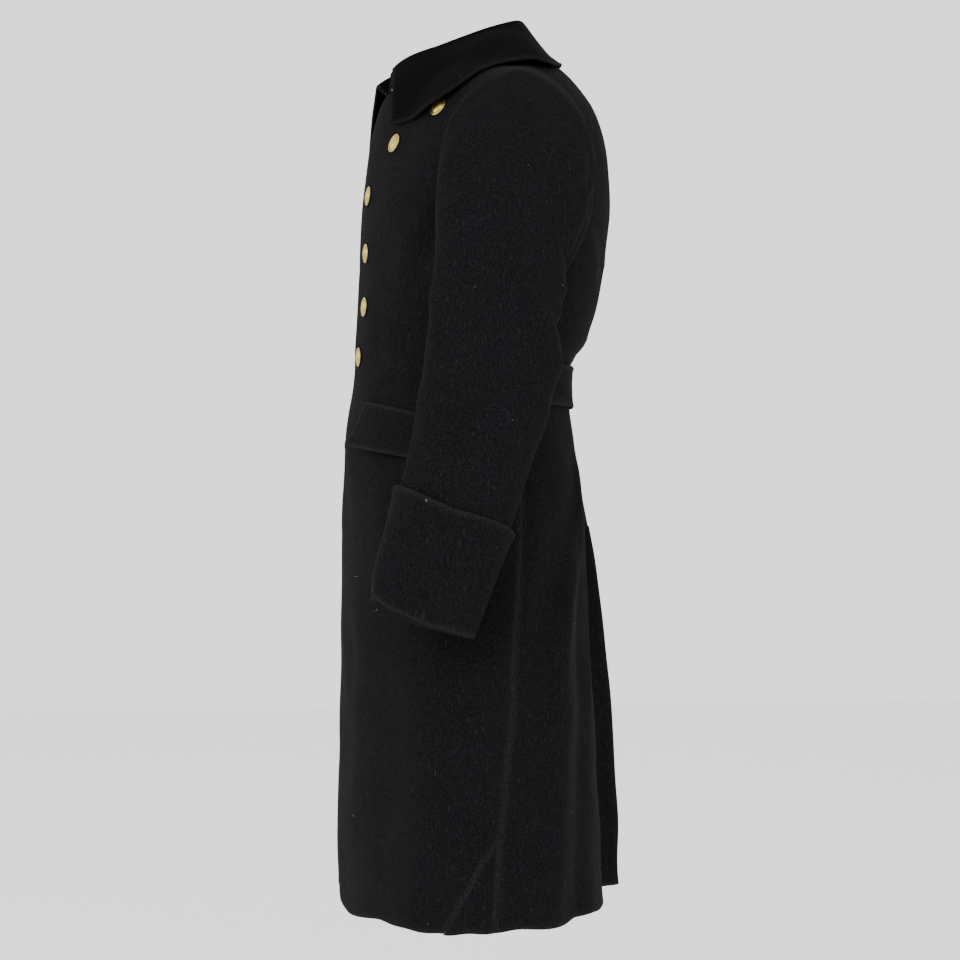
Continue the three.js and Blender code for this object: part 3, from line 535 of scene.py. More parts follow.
def backSide(z, rise):
    return np.where(rise > 0, lerp(body["backArm"], side(body["chestZ"]), armTurn(rise)), side(z))


def lapAngle(z, rise):
    above = along(body["lapelEdge"], "rise", "angle", rise)
    return np.where(rise > 0, above, along(body["lapEdge"], "z", "angle", z))


def lapelTop(angle):
    return 1 - body["lapelDrop"] * np.clip(np.abs(angle) / body["lapelTurn"], 0, 1)


def lapelReach(rise):
    # how far round the lapel covers at one share of the rise
    steps = np.linspace(0, 1, 400)
    edge = along(body["lapelEdge"], "rise", "angle", steps)
    covered = steps * lapelTop(edge)
    beyond = (1 - rise) * body["lapelTurn"] / body["lapelDrop"]
    return np.where(rise >= 1 - body["lapelDrop"], beyond, np.interp(rise, covered, edge))


panels = {
    "lowRows": 136,
    "highRows": 58,
    "seamSink": 1.3,        # how far the cloth dips into a seam
    "seamReach": 6.0,
    "seamSwell": 0.45,      # the cloth stands up again beyond the dip
    "hemWave": 1.0,         # the raw hem isn't cut quite true
    "hemLift": 0.6,
    "hemPerDegree": 5.4,    # millimetres round the hem to one degree
    "hemReach": 40.0,
    "seamGap": 0.06,        # free space at each seam and at the shoulder
    "topGap": 0.1,
    # where it hangs lower or higher
    "hemDrop": table("angle around rise", [(14, 16, -12.0), (114, 24, 4.0)]),
}


def panelRows():
    low = np.linspace(body["hemZ"], body["chestZ"], panels["lowRows"])
    high = (1 - np.cos(np.linspace(0, math.pi / 2, panels["highRows"] + 1)[1:])) * 0.55
    high = high / high[-1]
    t = np.linspace(0, 1, panels["highRows"] + 1)[1:]
    high = lerp(t, high, 0.35)
    z = np.concatenate([low, np.full(len(high), body["chestZ"])])
    return z, np.concatenate([np.zeros(len(low)), high])


def bodyGrid(stops, counts, riseAt=None, insetAt=None):
    z, rise = panelRows()
    stops = [stop(z, rise) if callable(stop) else np.full(z.shape, float(stop)) for stop in stops]
    angle = spread(stops, counts)
    zGrid = np.broadcast_to(z[:, None], angle.shape)
    riseGrid = np.broadcast_to(rise[:, None], angle.shape)
    if riseAt is not None:
        riseGrid = riseAt(riseGrid, angle)
    normal = bodyNormals(angle, zGrid, riseGrid)
    outer = bodyPoint(angle, zGrid, riseGrid)
    if insetAt is not None:
        outer = outer - normal * insetAt(angle, zGrid, riseGrid)[..., None]
    return outer, normal, angle, zGrid


def edgeReach(outer, which):
    # distance of each point from one edge of its panel, along the grid
    if which in ("first", "last"):
        steps = np.linalg.norm(np.diff(outer, axis=1), axis=-1)
        sums = np.concatenate([np.zeros((outer.shape[0], 1)), np.cumsum(steps, axis=1)], axis=1)
        return sums if which == "first" else sums[:, -1:] - sums
    steps = np.linalg.norm(np.diff(outer, axis=0), axis=-1)
    sums = np.concatenate([np.zeros((1, outer.shape[1])), np.cumsum(steps, axis=0)], axis=0)
    return sums if which == "low" else sums[-1:] - sums


def sinkSeams(outer, normal, edges):
    for which in edges:
        reach = edgeReach(outer, which)
        dip = panels["seamSink"] * bell(reach, panels["seamReach"])
        dip -= panels["seamSwell"] * bell(reach - 10, 5)
        outer = outer - normal * dip[..., None]
    return outer


def trimEdges(outer, edges):
    # draws an edge in a little, so that two panels don't touch
    outer = outer.copy()
    places = {"first": outer[:, :2], "last": outer[:, :-3:-1], "high": outer[:-3:-1].swapaxes(0, 1)}
    for which in edges:
        a, b = places[which][:, 0], places[which][:, 1]
        a += unit(b - a) * panels["topGap" if which == "high" else "seamGap"]
    return outer


def waveHem(outer, angle, seed):
    wave = panels["hemWave"] * ripple(angle * panels["hemPerDegree"], angle * 0, 100, seed)
    fade = ease((body["hemZ"] + panels["hemReach"] - outer[..., 2]) / panels["hemReach"])
    for drop in panels["hemDrop"]:
        wave = wave + drop["rise"] * bell(angle - drop["angle"], drop["around"])
    outer[..., 2] += (wave + panels["hemLift"]) * fade
    return outer


# ---- finishes ----

def fill(tree, node, values):
    # sockets are linked, and anything else is set as a plain value
    for key, value in values.items():
        if isinstance(value, bpy.types.NodeSocket):
            tree.links.new(value, node.inputs[key])
        else:
            node.inputs[key].default_value = value


def addNode(tree, kind, values=None, **settings):
    node = tree.nodes.new(kind)
    for key, value in settings.items():
        setattr(node, key, value)
    fill(tree, node, values or {})
    return node


def newFinish(name):
    finish = bpy.data.materials.new(name)
    finish.use_nodes = True
    return finish, finish.node_tree, finish.node_tree.nodes["Principled BSDF"]


def noiseOn(tree, spread, detail=4.0, roughness=0.6, turned=(0, 0, 0)):
    # noise on object coordinates, with its grain in features a metre along each axis
    place = addNode(tree, "ShaderNodeTexCoord")
    mapping = addNode(tree, "ShaderNodeMapping", {
        "Scale": spread, "Rotation": turned, "Vector": place.outputs["Object"],
    })
    return addNode(tree, "ShaderNodeTexNoise", {
        "Scale": 1.0, "Detail": detail, "Roughness": roughness, "Vector": mapping.outputs["Vector"],
    }).outputs["Fac"]


def rampOf(tree, source, low, high, dark, pale):
    ramp = addNode(tree, "ShaderNodeValToRGB", {"Fac": source})
    for element, place, colour in zip(ramp.color_ramp.elements, (low, high), (dark, pale)):
        element.position = place
        element.color = (*colour, 1)
    return ramp.outputs["Color"]


def mixColours(tree, share, first, second, blend="MIX"):
    mix = addNode(tree, "ShaderNodeMix", data_type="RGBA", blend_type=blend)
    sockets = {socket.identifier: socket for socket in mix.inputs}
    if isinstance(share, float):
        sockets["Factor_Float"].default_value = share
    else:
        tree.links.new(share, sockets["Factor_Float"])
    tree.links.new(first, sockets["A_Color"])
    tree.links.new(second, sockets["B_Color"])
    return next(socket for socket in mix.outputs if socket.identifier == "Result_Color")


def bumpFrom(tree, height, strength, distance, before=None):
    values = {"Strength": strength, "Distance": distance, "Height": height}
    if before is not None:
        values["Normal"] = before
    return addNode(tree, "ShaderNodeBump", values).outputs["Normal"]


def mapTo(tree, source, low, high):
    values = {"To Min": low, "To Max": high, "Value": source}
    return addNode(tree, "ShaderNodeMapRange", values).outputs["Result"]


woolLook = {
    "deep": (0.0030, 0.0029, 0.0034),
    "worn": (0.0112, 0.0110, 0.0123),
    "fibre": (0.0230, 0.0230, 0.0245),
    # the edge colour is a painted sheen, laid along seams and free edges
    "edge": (0.0200, 0.0200, 0.0215),
    "napGrain": (720, 720, 460),       # short nap
    "fibreGrain": (620, 620, 80),      # hairs lie down the cloth
    "crossGrain": (80, 620, 620),
    "mottle": (17, 17, 10),
    "feltGrain": (150, 150, 110),
}

# the collar's wool, painted darker than the body's: painted shade, as the upturned collar catches more light
# from above
collarShadedLook = dict(
    woolLook,
    deep=(0.0016, 0.0016, 0.0019),
    worn=(0.0020, 0.0020, 0.0024),
    fibre=(0.0048, 0.0048, 0.0054),
)


def makeWool(name, look, sheen, bumpHigh):
    finish, tree, shader = newFinish(name)
    nap = noiseOn(tree, look["napGrain"], 3.0, 0.65)
    strands = noiseOn(tree, look["fibreGrain"], 5.0, 0.7, (0.05, 0.03, 0))
    crossed = noiseOn(tree, look["crossGrain"], 3.0, 0.6, (0.0, 0.35, 0.6))
    mottle = noiseOn(tree, look["mottle"], 4.0, 0.55)
    base = mixColours(
        tree, mottle,
        rampOf(tree, nap, 0.35, 0.72, look["deep"], look["worn"]),
        rampOf(tree, nap, 0.42, 0.8, look["deep"], look["worn"]),
    )
    base = mixColours(tree, 0.8, base, rampOf(tree, strands, 0.58, 0.76, (0, 0, 0), look["fibre"]), "ADD")
    # painted sheen: seams and free edges are painted a little paler, standing in for the light they catch
    paintedSheenMask = addNode(tree, "ShaderNodeAttribute", attribute_name="paintedEdgeSheen").outputs["Fac"]
    share = addNode(tree, "ShaderNodeMath", {0: paintedSheenMask, 1: nap}, operation="MULTIPLY")
    pale = rampOf(tree, nap, 0.3, 0.7, look["worn"], look["edge"])
    felt = bumpFrom(tree, nap, bumpHigh, 0.0009)
    felt = bumpFrom(tree, strands, bumpHigh * 0.8, 0.0009, felt)
    felt = bumpFrom(tree, crossed, bumpHigh * 0.4, 0.0006, felt)
    fill(tree, shader, {
        "Base Color": mixColours(tree, share.outputs[0], base, pale),
        "Roughness": mapTo(tree, mottle, 0.86, 1.0),
        "Sheen Weight": sheen,
        "Sheen Roughness": 0.5,
        "Sheen Tint": (0.8, 0.82, 0.86, 1),
        "Specular IOR Level": 0.015,
        "Normal": bumpFrom(tree, noiseOn(tree, look["feltGrain"], 3.0, 0.5), 0.25, 0.0016, felt),
    })
    return finish


def makeBrass():
    finish, tree, shader = newFinish("satinBrass")
    tarnish = noiseOn(tree, (260, 260, 260), 4.0, 0.6)
    scuffs = noiseOn(tree, (1500, 1500, 1500), 3.0, 0.6)
    clean = rampOf(tree, tarnish, 0.3, 0.75, (0.34, 0.26, 0.045), (0.54, 0.44, 0.11))
    dark = rampOf(tree, tarnish, 0.3, 0.7, (0.06, 0.038, 0.008), (0.14, 0.095, 0.022))
    groove = addNode(tree, "ShaderNodeAttribute", attribute_name="groove").outputs["Fac"]
    fill(tree, shader, {
        "Base Color": mixColours(tree, groove, clean, dark),
        "Roughness": mapTo(tree, tarnish, 0.24, 0.5),
        "Metallic": 1.0,
        "Normal": bumpFrom(tree, scuffs, 0.12, 0.0003),
    })
    return finish


def makeThread():
    finish, tree, shader = newFinish("blackThread")
    twist = noiseOn(tree, (2200, 2200, 2200), 2.0, 0.5)
    fill(tree, shader, {
        "Base Color": rampOf(tree, twist, 0.3, 0.7, (0.003, 0.003, 0.0034), (0.010, 0.010, 0.011)),
        "Roughness": 0.8,
        "Specular IOR Level": 0.1,
        "Normal": bumpFrom(tree, twist, 0.3, 0.0003),
    })
    return finish


def makeHair(name, dark, pale):
    finish, tree, shader = newFinish(name)
    tone = noiseOn(tree, (420, 420, 420), 2.0, 0.5)
    fill(tree, shader, {"Base Color": rampOf(tree, tone, 0.35, 0.65, dark, pale), "Roughness": 0.85})
    return finish


meltonWool = makeWool("meltonWool", woolLook, 0.005, 0.7)
# a darker copy of the wool for the collar: its darkness is painted shade, its lower bump the smoother cloth
collarShadedWool = makeWool("collarShadedWool", collarShadedLook, 0.004, 0.35)
satinBrass = makeBrass()
blackThread = makeThread()
napHair = makeHair("napHair", (0.006, 0.006, 0.007), (0.022, 0.022, 0.024))
lintHair = makeHair("paleLint", (0.12, 0.12, 0.12), (0.34, 0.33, 0.31))
print("finishes made")

# ---- fronts and backs ----


def makeCloth(name, node, kind, outer, normal, wall, closedRound=False, rounding=0.55):
    # one cloth piece: its wall and its finish
    mesh = shellMesh(name, outer, normal, wall, closedRound, rounding)
    if kind == "collar":
        # the collar takes the copy of the wool painted darker as painted shade
        piece = addPiece(name, mesh, node, collarShadedWool)
    else:
        piece = addPiece(name, mesh, node, meltonWool)


def rightInset(angle, z, rise):
    # the right front lies under the left one as far as its edge, then comes up flush
    inset = body["lapInset"]
    under = inset + 1.5 * ease((rise - 0.15) / 0.3)
    edge = np.where(rise > 0, lapelReach(rise) + 5, lapAngle(z, rise) + 1.9)
    beyond = ease((np.abs(angle) - edge) / 8.5)
    roomy = inset + 3.5 * ease((rise - 0.15) / 0.3)
    return np.where(angle > 0, under, roomy * (1 - beyond))


def makeFrontLeft():
    outer, normal, angle, unused = bodyGrid(
        [lambda z, rise: -lapAngle(z, rise), 0, body["neckColumn"], frontSide],
        [18, 28, 36],
        lambda rise, angle: rise * np.where(angle < 0, lapelTop(angle), 1),
    )
    outer = sinkSeams(outer, normal, ["last"])
    # the free edge rolls a little, and is cut thick
    reach = edgeReach(outer, "first")
    outer = outer + normal * (0.7 * bell(reach - 9, 8))[..., None]
    outer = trimEdges(outer, ["last", "high"])
    outer = waveHem(outer, angle, 21)
    makeCloth("frontLeftWool", "front_left", "frontLeft", outer, normal, body["wall"])
    return outer, normal


# degrees that the hidden layer reaches past the middle, and from the lap's edge to open cloth
under = {"high": 17, "low": 12, "fall": 800, "shelf": 2, "clear": 8}


def makeFrontRight():
    def hidden(z, rise):
        reach = lerp(under["high"], under["low"], np.clip((body["chestZ"] - z) / under["fall"], 0, 1))
        return np.where(rise > 0, under["high"], reach)

    def shelf(z, rise):
        edge = body["lapelEdge"][0]["angle"]
        return -(np.where(rise > 0, edge, lapAngle(z, rise)) + under["shelf"])

    def clear(z, rise):
        above = lerp(under["clear"] - shelf(z, rise), body["neckColumn"], rise)
        return np.where(rise > 0, -above, shelf(z, rise) - under["clear"])

    outer, normal, angle, unused = bodyGrid(
        [hidden, 0, shelf, clear, lambda z, rise: -frontSide(z, rise)],
        [8, 22, 8, 38],
        None,
        rightInset,
    )
    outer = sinkSeams(outer, normal, ["last"])
    outer = trimEdges(outer, ["last", "high"])
    outer = waveHem(outer, angle, 22)
    makeCloth("frontRightWool", "front_right", "frontRight", outer, normal, body["wall"])
    return outer, normal


def ventAngle(z, rise):
    return np.where(rise > 0, 180, along(body["ventEdge"], "z", "angle", z))


def makeBack(kind, node, stops, seed):
    outer, normal, angle, z = bodyGrid(stops, [34, 30])
    # the centre seam lies open below the waist, so its dip ends there
    reach = edgeReach(outer, "last")
    closed = ease((z + 600) / 60) if node == "back_left" else 1.0
    outer = outer - normal * (bell(reach, panels["seamReach"]) * closed)[..., None]
    outer = sinkSeams(outer, normal, ["first"])
    outer = trimEdges(outer, ["first", "last", "high"])
    outer = waveHem(outer, angle, seed)
    makeCloth(kind + "Wool", node, kind, outer, normal, body["wall"])
    return outer, normal


frontLeftGrid = makeFrontLeft()
frontRightGrid = makeFrontRight()
backLeftGrid = makeBack("backLeft", "back_left", [backSide, 140, ventAngle], 23)
backRightGrid = makeBack(
    "backRight", "back_right", [lambda z, rise: -backSide(z, rise), -140, -body["backMiddle"]], 24,
)
print("fronts and backs made")

# ---- hem wedges and vent underlap ----



def makeWedge(sign, name, node, seed):
    z = np.linspace(body["hemZ"], body["wedgeTopZ"], 30)
    angle = spread([frontSide(z, z * 0), side(z)], [24])
    zGrid = np.broadcast_to(z[:, None], angle.shape)
    none = np.zeros(angle.shape)
    normal = bodyNormals(sign * angle, zGrid, none)
    outer = bodyPoint(sign * angle, zGrid, none)
    outer[-1] = lerp(outer[-2], outer[-1], 0.86)
    if sign < 0:
        outer, normal, angle = outer[:, ::-1], normal[:, ::-1], angle[:, ::-1]
    outer = sinkSeams(outer, normal, ["first", "last"])
    outer = trimEdges(outer, ["first", "last"])
    outer = waveHem(outer, sign * angle, seed)
    makeCloth(name, node, "hemWedge", outer, normal, body["wall"])


underlap = {
    "wall": 2.6,
    "under": 1.2,
    "least": 26.0,
    "lowZ": -1066,
    "highZ": -598,
    "start": 1.4,
    "turn": table("at across drop", [
        (0, 0, 0), (1, 0.07, 0.06), (2, 0.12, 0.26), (3, 0.15, 0.52), (4, 0.21, 0.78), (5, 0.34, 0.93),
        (6, 0.6, 0.98), (7, 0.85, 1), (8, 1.15, 1), (9, 1.4, 1),
    ]),
}


def makeUnderlap():
    z = np.linspace(underlap["lowZ"], underlap["highZ"], 100)
    at = np.linspace(0, 9, 46)
    across = along(underlap["turn"], "at", "across", at)[None, :]
    drop = along(underlap["turn"], "at", "drop", at)[None, :]
    none = np.zeros(z.shape)
    edge = bodyPoint(along(body["ventEdge"], "z", "angle", z), z, none)
    start = bodyPoint(-body["backMiddle"] + none, z, none)
    x = np.maximum(edge[:, :1], underlap["least"]) * across
    turn = np.degrees(np.arcsin(np.clip(x / level("half", z)[:, None], 0, 1)))
    zGrid = np.broadcast_to(z[:, None], turn.shape)
    flat = np.zeros(turn.shape)
    inside = bodyPoint(180 - turn, zGrid, flat)
    inside = inside - bodyNormals(180 - turn, zGrid, flat) * (body["wall"] + underlap["under"])
    outer = np.stack([x + underlap["start"], lerp(start[:, 1:2], inside[..., 1], drop), zGrid], -1)
    wall = underlap["wall"]
    makeCloth("ventUnderlapWool", "vent_underlap", "ventUnderlap", outer, ownNormals(outer, -1), wall)


makeWedge(1, "hemWedgeLeftWool", "hem_wedge_left", 25)
makeWedge(-1, "hemWedgeRightWool", "hem_wedge_right", 26)
makeUnderlap()
print("wedges and underlap made")

# ---- sleeves and cuffs ----


sleeve = {
    "seamGap": 0.3,
    "rightSwing": 24.0,     # the right arm hangs a little further back
    "stepsARing": 9,
    "perRing": 47.0,        # millimetres from one ring to the next, and to one degree round
    "perDegree": 1.7,
    "last": 14.06,          # where the cuff ends, in rings, and the sleeve's surface with it
    # outer point, inner point, front and back point, depth of the middle
    "rings": table("ox oz ix iz fy fz by bz y", [
        (243, -52, 222, -271, -80, -170, 106, -176, 14),
        (263, -76, 228, -277, -86, -186, 103, -190, 12),
        (281, -116, 231, -288, -89, -208, 96, -211, 8),
        (294, -168, 234, -304, -90, -238, 84, -242, 2),
        (304, -224, 236, -326, -92, -276, 68, -280, -6),
        (313, -282, 239, -356, -96, -316, 60, -322, -14),
        (320, -336, 243, -390, -101, -356, 57, -366, -22),
        (327, -388, 246, -428, -107, -396, 54, -412, -30),
        (333, -440, 250, -470, -114, -438, 42, -462, -42),
        (339, -492, 254, -512, -122, -482, 22, -514, -56),
        (343, -542, 258, -556, -131, -526, 4, -564, -70),
        (347, -592, 261, -602, -143, -574, -14, -614, -84),
        (350, -648, 264, -655, -159, -625, -34, -668, -98),
        (352, -703, 266, -708, -171, -676, -54, -720, -110),
    ]),
    # creases: place down the sleeve in rings, turn round it (0 front, 90 outer, 180 back)
    "creasesLeft": table("at1 t1 at2 t2 across rise", [
        (4.5, 200, 5.3, 150, 8, -4.5), (5.5, 205, 6.1, 142, 9, 4.0),
        (6.7, 210, 6.9, 138, 14, -6.5), (7.9, 205, 7.6, 130, 12, 3.4),
        (8.9, 200, 8.2, 120, 13, -2.6), (2.0, 35, 5.6, 70, 15, -1.8),
        (2.6, 60, 6.4, 96, 20, 1.8), (5.8, 20, 8.8, 62, 16, -1.8),
        (6.0, -5, 7.4, 40, 12, 2.2), (8.6, 66, 11.4, 108, 14, -2.0),
        (8.2, 92, 11.2, 135, 14, 1.8), (9.6, 30, 11.5, 58, 12, 1.6),
        (2.0, 166, 4.6, 150, 13, -2.6), (3.0, -60, 5.0, -20, 12, -3.0),
        (5.0, -120, 7.5, -60, 14, -2.6),
    ]),
    "creasesRight": table("at1 t1 at2 t2 across rise", [
        (4.3, 198, 5.0, 152, 9, -3.6), (5.2, 205, 5.9, 146, 9, 3.4),
        (6.3, 208, 6.8, 134, 13, -5.2), (7.5, 203, 7.5, 134, 12, 3.0),
        (8.6, 198, 8.1, 124, 12, -2.4), (2.2, 40, 5.2, 74, 15, -2.0),
        (2.8, 66, 6.0, 92, 18, 1.8), (5.5, 16, 8.4, 58, 15, -2.2),
        (6.3, 0, 7.8, 44, 12, 2.0), (8.9, 60, 11.2, 100, 13, -2.0),
        (2.0, 162, 4.4, 148, 13, -2.4), (3.2, -62, 5.2, -24, 12, -2.6),
    ]),
    "cuffLifts": table("at lift", [
        (11.6, 6.2), (12.5, 5.0), (13.4, 4.3), (14.06, 3.9),
    ]),
}

cuff = {
    "wall": 3.4,
    "top": 11.6,
    "high": 115.0,
    "tilt": 0.12,           # the turned-back edge dips towards the front
    "roundFrom": 13.3,      # below this the front corner is softly rounded
    "roundTurn": 26.0,
    "roundUp": 10.0,
    "roundBack": 5.0,
}


def armholeLine(sign, isFront):
    rises = np.linspace(0, 1, 260)
    z = np.full(rises.shape, body["chestZ"])
    column = frontSide(z, rises) if isFront else backSide(z, rises)
    line = bodyPoint(sign * column, z, rises)
    sums = np.concatenate([[0], np.cumsum(np.linalg.norm(np.diff(line, axis=0), axis=-1))])
    share = sums / sums[-1]
    return line, share, float(np.interp(body["armRise"], rises, share))


def sleeveRing(row, t, sign, k):
    c = np.cos(np.radians(t))
    s = np.sin(np.radians(t))
    swing = sleeve["rightSwing"] * (k / (len(sleeve["rings"]) - 1))**2 if sign < 0 else 0
    outerTop = np.array([row["ox"], row["y"] + swing, row["oz"]], float)
    innerLow = np.array([row["ix"], row["y"] + swing, row["iz"]], float)
    middle = (outerTop + innerLow) / 2
    front = np.array([middle[0], row["fy"] + swing, row["fz"]])
    back = np.array([middle[0], row["by"] + swing, row["bz"]])
    swell = (1 + 0.05 * np.sin(2 * np.radians(t))**2)[:, None]
    reach = np.where((c > 0)[:, None], front, back) - middle
    points = middle + (outerTop - middle) * s[:, None] * swell + reach * np.abs(c)[:, None] * swell
    points[:, 0] *= sign
    return points


def curveThrough(loops, at):
    # a smooth curve through the loops, for places counted in loops
    last = len(loops) - 1
    k = np.clip(np.floor(at).astype(int), 0, last - 1)
    f = (at - k).reshape((-1,) + (1,) * (loops.ndim - 1))
    p0 = loops[np.maximum(k - 1, 0)]
    p1 = loops[k]
    p2 = loops[k + 1]
    p3 = loops[np.minimum(k + 2, last)]
    m1 = (p2 - p0) / 2
    m2 = (p3 - p1) / 2
    start = (2 * f**3 - 3 * f**2 + 1) * p1 + (f**3 - 2 * f**2 + f) * m1
    return start + (3 * f**2 - 2 * f**3) * p2 + (f**3 - f**2) * m2


def sleeveCreases(at, t, rows):
    total = np.zeros(np.broadcast(at, t).shape)
    for crease in rows:
        du = (crease["at2"] - crease["at1"]) * sleeve["perRing"]
        dv = (crease["t2"] - crease["t1"]) * sleeve["perDegree"]
        length = math.hypot(du, dv)
        for whole in (-360, 0, 360):
            u = (at - crease["at1"]) * sleeve["perRing"]
            v = (t + whole - crease["t1"]) * sleeve["perDegree"]
            share = (u * du + v * dv) / length**2
            off = (u * dv - v * du) / length + 4 * np.sin(math.pi * np.clip(share, 0, 1))
            fade = ease((share + 0.15) / 0.4) * ease((1.15 - share) / 0.4)
            total += crease["rise"] * bell(off, crease["across"]) * fade
    return total


def sleeveSurface(sign, at, t, creases=True):
    # points and outward directions of the sleeve on a grid of places and turns
    lines = {isFront: armholeLine(sign, isFront) for isFront in (True, False)}
    turn = (t + 90) % 360
    onFront = turn <= 180
    u = np.where(onFront, turn / 180, (360 - turn) / 180)
    first = np.empty((len(t), 3))
    for isFront in (True, False):
        line, share, unused = lines[isFront]
        own = onFront if isFront else ~onFront
        for axis in range(3):
            first[own, axis] = np.interp(u[own], share, line[:, axis])
    loops = [first] + [sleeveRing(row, t, sign, k) for k, row in enumerate(sleeve["rings"])]
    way = loops[1] - first
    loops[0] = first + way / np.linalg.norm(way, axis=-1, keepdims=True) * sleeve["seamGap"]
    loops = np.array(loops)
    points = curveThrough(loops, at)
    ahead = curveThrough(loops, np.minimum(at + 0.03, sleeve["last"]))
    ahead = ahead - curveThrough(loops, np.maximum(at - 0.03, 0))
    wide = np.gradient(points, axis=1)
    normal = unit(np.cross(wide, ahead) * -sign)
    if creases:
        rows = sleeve["creasesLeft"] if sign > 0 else sleeve["creasesRight"]
        seed = 31 if sign > 0 else 32
        outside = np.sin(np.radians(t))[None, :]
        lift = sleeveCreases(at[:, None], t[None, :], rows)
        lift += 0.8 * ripple(at[:, None] * sleeve["perRing"], outside * 80, 80, seed)
        # the cap is eased into the armhole, so it swells just past the seam
        lift += 1.8 * bell(at[:, None] - 0.75, 0.5) * np.clip(outside, 0, 1)
        lift *= ease(at / 0.9)[:, None] * (1 - 0.6 * ease((at - 11.2) / 0.8))[:, None]
        points = points + normal * lift[..., None]
    return points, normal


def makeSleeve(sign):
    word = "Left" if sign > 0 else "Right"
    node = word.lower()
    at = np.linspace(0, 14, 14 * sleeve["stepsARing"] + 1)
    frontTurn = -90 + 180 * armholeLine(sign, True)[2]
    backTurn = 270 - 180 * armholeLine(sign, False)[2]
    for part, low, high, count in (
        ("top", frontTurn, backTurn, 84),
        ("under", backTurn - 360, frontTurn, 48),
    ):
        t = np.linspace(low, high, count + 1)
        outer, normal = sleeveSurface(sign, at, t)
        outer = sinkSeams(outer, normal, ["first", "last", "low"])
        outer = trimEdges(outer, ["first", "last"])
        kind = f"{part}Sleeve"
        makeCloth(f"{kind}{word}Wool", f"{part}_sleeve_{node}", kind, outer, normal, body["wall"])


def makeCuff(sign):
    word = "Left" if sign > 0 else "Right"
    at = np.linspace(cuff["top"], sleeve["last"], 34)
    below = (at - cuff["top"])[:, None]
    t = np.linspace(-90, 270, 113)[:-1]
    closed = np.append(t, 270.0)
    places = np.linspace(cuff["top"] - 0.2, sleeve["last"], 90)
    surface, outward = sleeveSurface(sign, places, closed)
    tilt = cuff["tilt"] * np.cos(np.radians(closed))[None, :]
    tilt = tilt * (1 - below / (sleeve["last"] - cuff["top"]))
    row = (at[:, None] - tilt - places[0]) / (places[1] - places[0])
    k = np.clip(row.astype(int), 0, len(places) - 2)
    column = np.broadcast_to(np.arange(len(closed)), k.shape)
    outer = lerp(surface[k, column], surface[k + 1, column], (row - k)[..., None])
    normal = lerp(outward[k, column], outward[k + 1, column], (row - k)[..., None])
    normal[:, 0] = normal[:, -1] = (normal[:, 0] + normal[:, -1]) / 2
    normal[:, 0] /= np.linalg.norm(normal[:, 0], axis=-1, keepdims=True)
    outer, normal = outer[:, :-1], normal[:, :-1]
    lift = along(sleeve["cuffLifts"], "at", "lift", at)[:, None]
    seed = 41 if sign > 0 else 42
    loose = np.abs(ripple(t[None, :] * sleeve["perDegree"], at[:, None] * sleeve["perRing"], 110, seed))
    turn = np.radians(t)[None, :]
    uneven = 0.8 * np.sin(turn * 2 + 0.7) * (1 - ease(below / 0.5))
    lift = lift + 0.9 * loose * (1 - ease(below / 1.1)) + uneven
    outer = outer + normal * lift[..., None]
    # the free top edge isn't quite level
    outer[..., 2] += 1.4 * np.sin(3 * turn + sign) * (1 - ease(below / 0.6))
    toEnd = (at - cuff["roundFrom"]) / (sleeve["last"] - cuff["roundFrom"])
    rounded = bell(t[None, :], cuff["roundTurn"]) * ease(toEnd)[:, None]
    outer[..., 2] += cuff["roundUp"] * rounded
    outer[..., 1] += cuff["roundBack"] * rounded
    makeCloth(f"cuff{word}Wool", f"cuff_{word.lower()}", "cuff", outer, normal, cuff["wall"], True, 1.2)
    return outer, normal


cuffGrids = {}
for sign in (1, -1):
    makeSleeve(sign)
    cuffGrids[sign] = makeCuff(sign)
print("sleeves and cuffs made")

# ---- collar ----


collar = {
    "wall": 3.4,
    "stations": 30,
    "points": 9,            # steps across, from the neck seam over the fold to the lip
    "around": 720.0,
    "deep": 216.0,
    "lift": 6.0,
    # the fall lifts over the buttons under it, and the right end hangs lower
    "covered": [(167, -75, -81), (-147, -84, -78), (-110, -124, -118)],
    "coveredLift": 6.0,
    "coveredReach": 34.0,
    "foldDroop": (0, -14, -12),
    "lipDroop": (38, -12, -30),
    "rows": table("i seam fx fy fz lx ly lz swell", [
        (0, 8, 24, -117, -14, 106, -128, -93, 9), (1, 22, 36, -108, -6, 126, -111, -92, 9),
        (2, 40, 49, -89, 3, 150, -92, -90, 8), (3, 60, 59, -63, 11, 173, -64, -77, 7),
        (4, 80, 64, -34, 22, 184, -30, -55, 7), (5, 100, 64, -6, 33, 165, 9, -24, 6),
        (6, 120, 57, 18, 42, 125, 50, -11, 5), (7, 140, 43, 36, 49, 96, 80, -12, 2),
        (8, 160, 22, 46, 53, 48, 97, -6, 0), (9, 180, 0, 49, 55, 0, 102, -3, 0),
    ]),
}


def bodySamples():
    angle, rise = np.meshgrid(np.arange(-180, 180, 4.0), np.arange(0, 1.0001, 0.05), indexing="ij")
    angle, rise = angle.ravel(), rise.ravel()
    z = np.full(angle.shape, body["chestZ"])
    return bodyPoint(angle, z, rise), bodyNormals(angle, z, rise)


def standOff(p, samples, plain):
    # keeps a point clear of the body below it, more so over a button
    spots, outward = samples
    near = min(math.dist(p, button) for button in collar["covered"])
    need = plain + collar["coveredLift"] * bell(near, collar["coveredReach"])
    for unused in range(3):
        k = int(((spots - p)**2).sum(axis=1).argmin())
        off = float((p - spots[k]) @ outward[k])
        if off < need:
            p = p + outward[k] * (need - off)
    return p


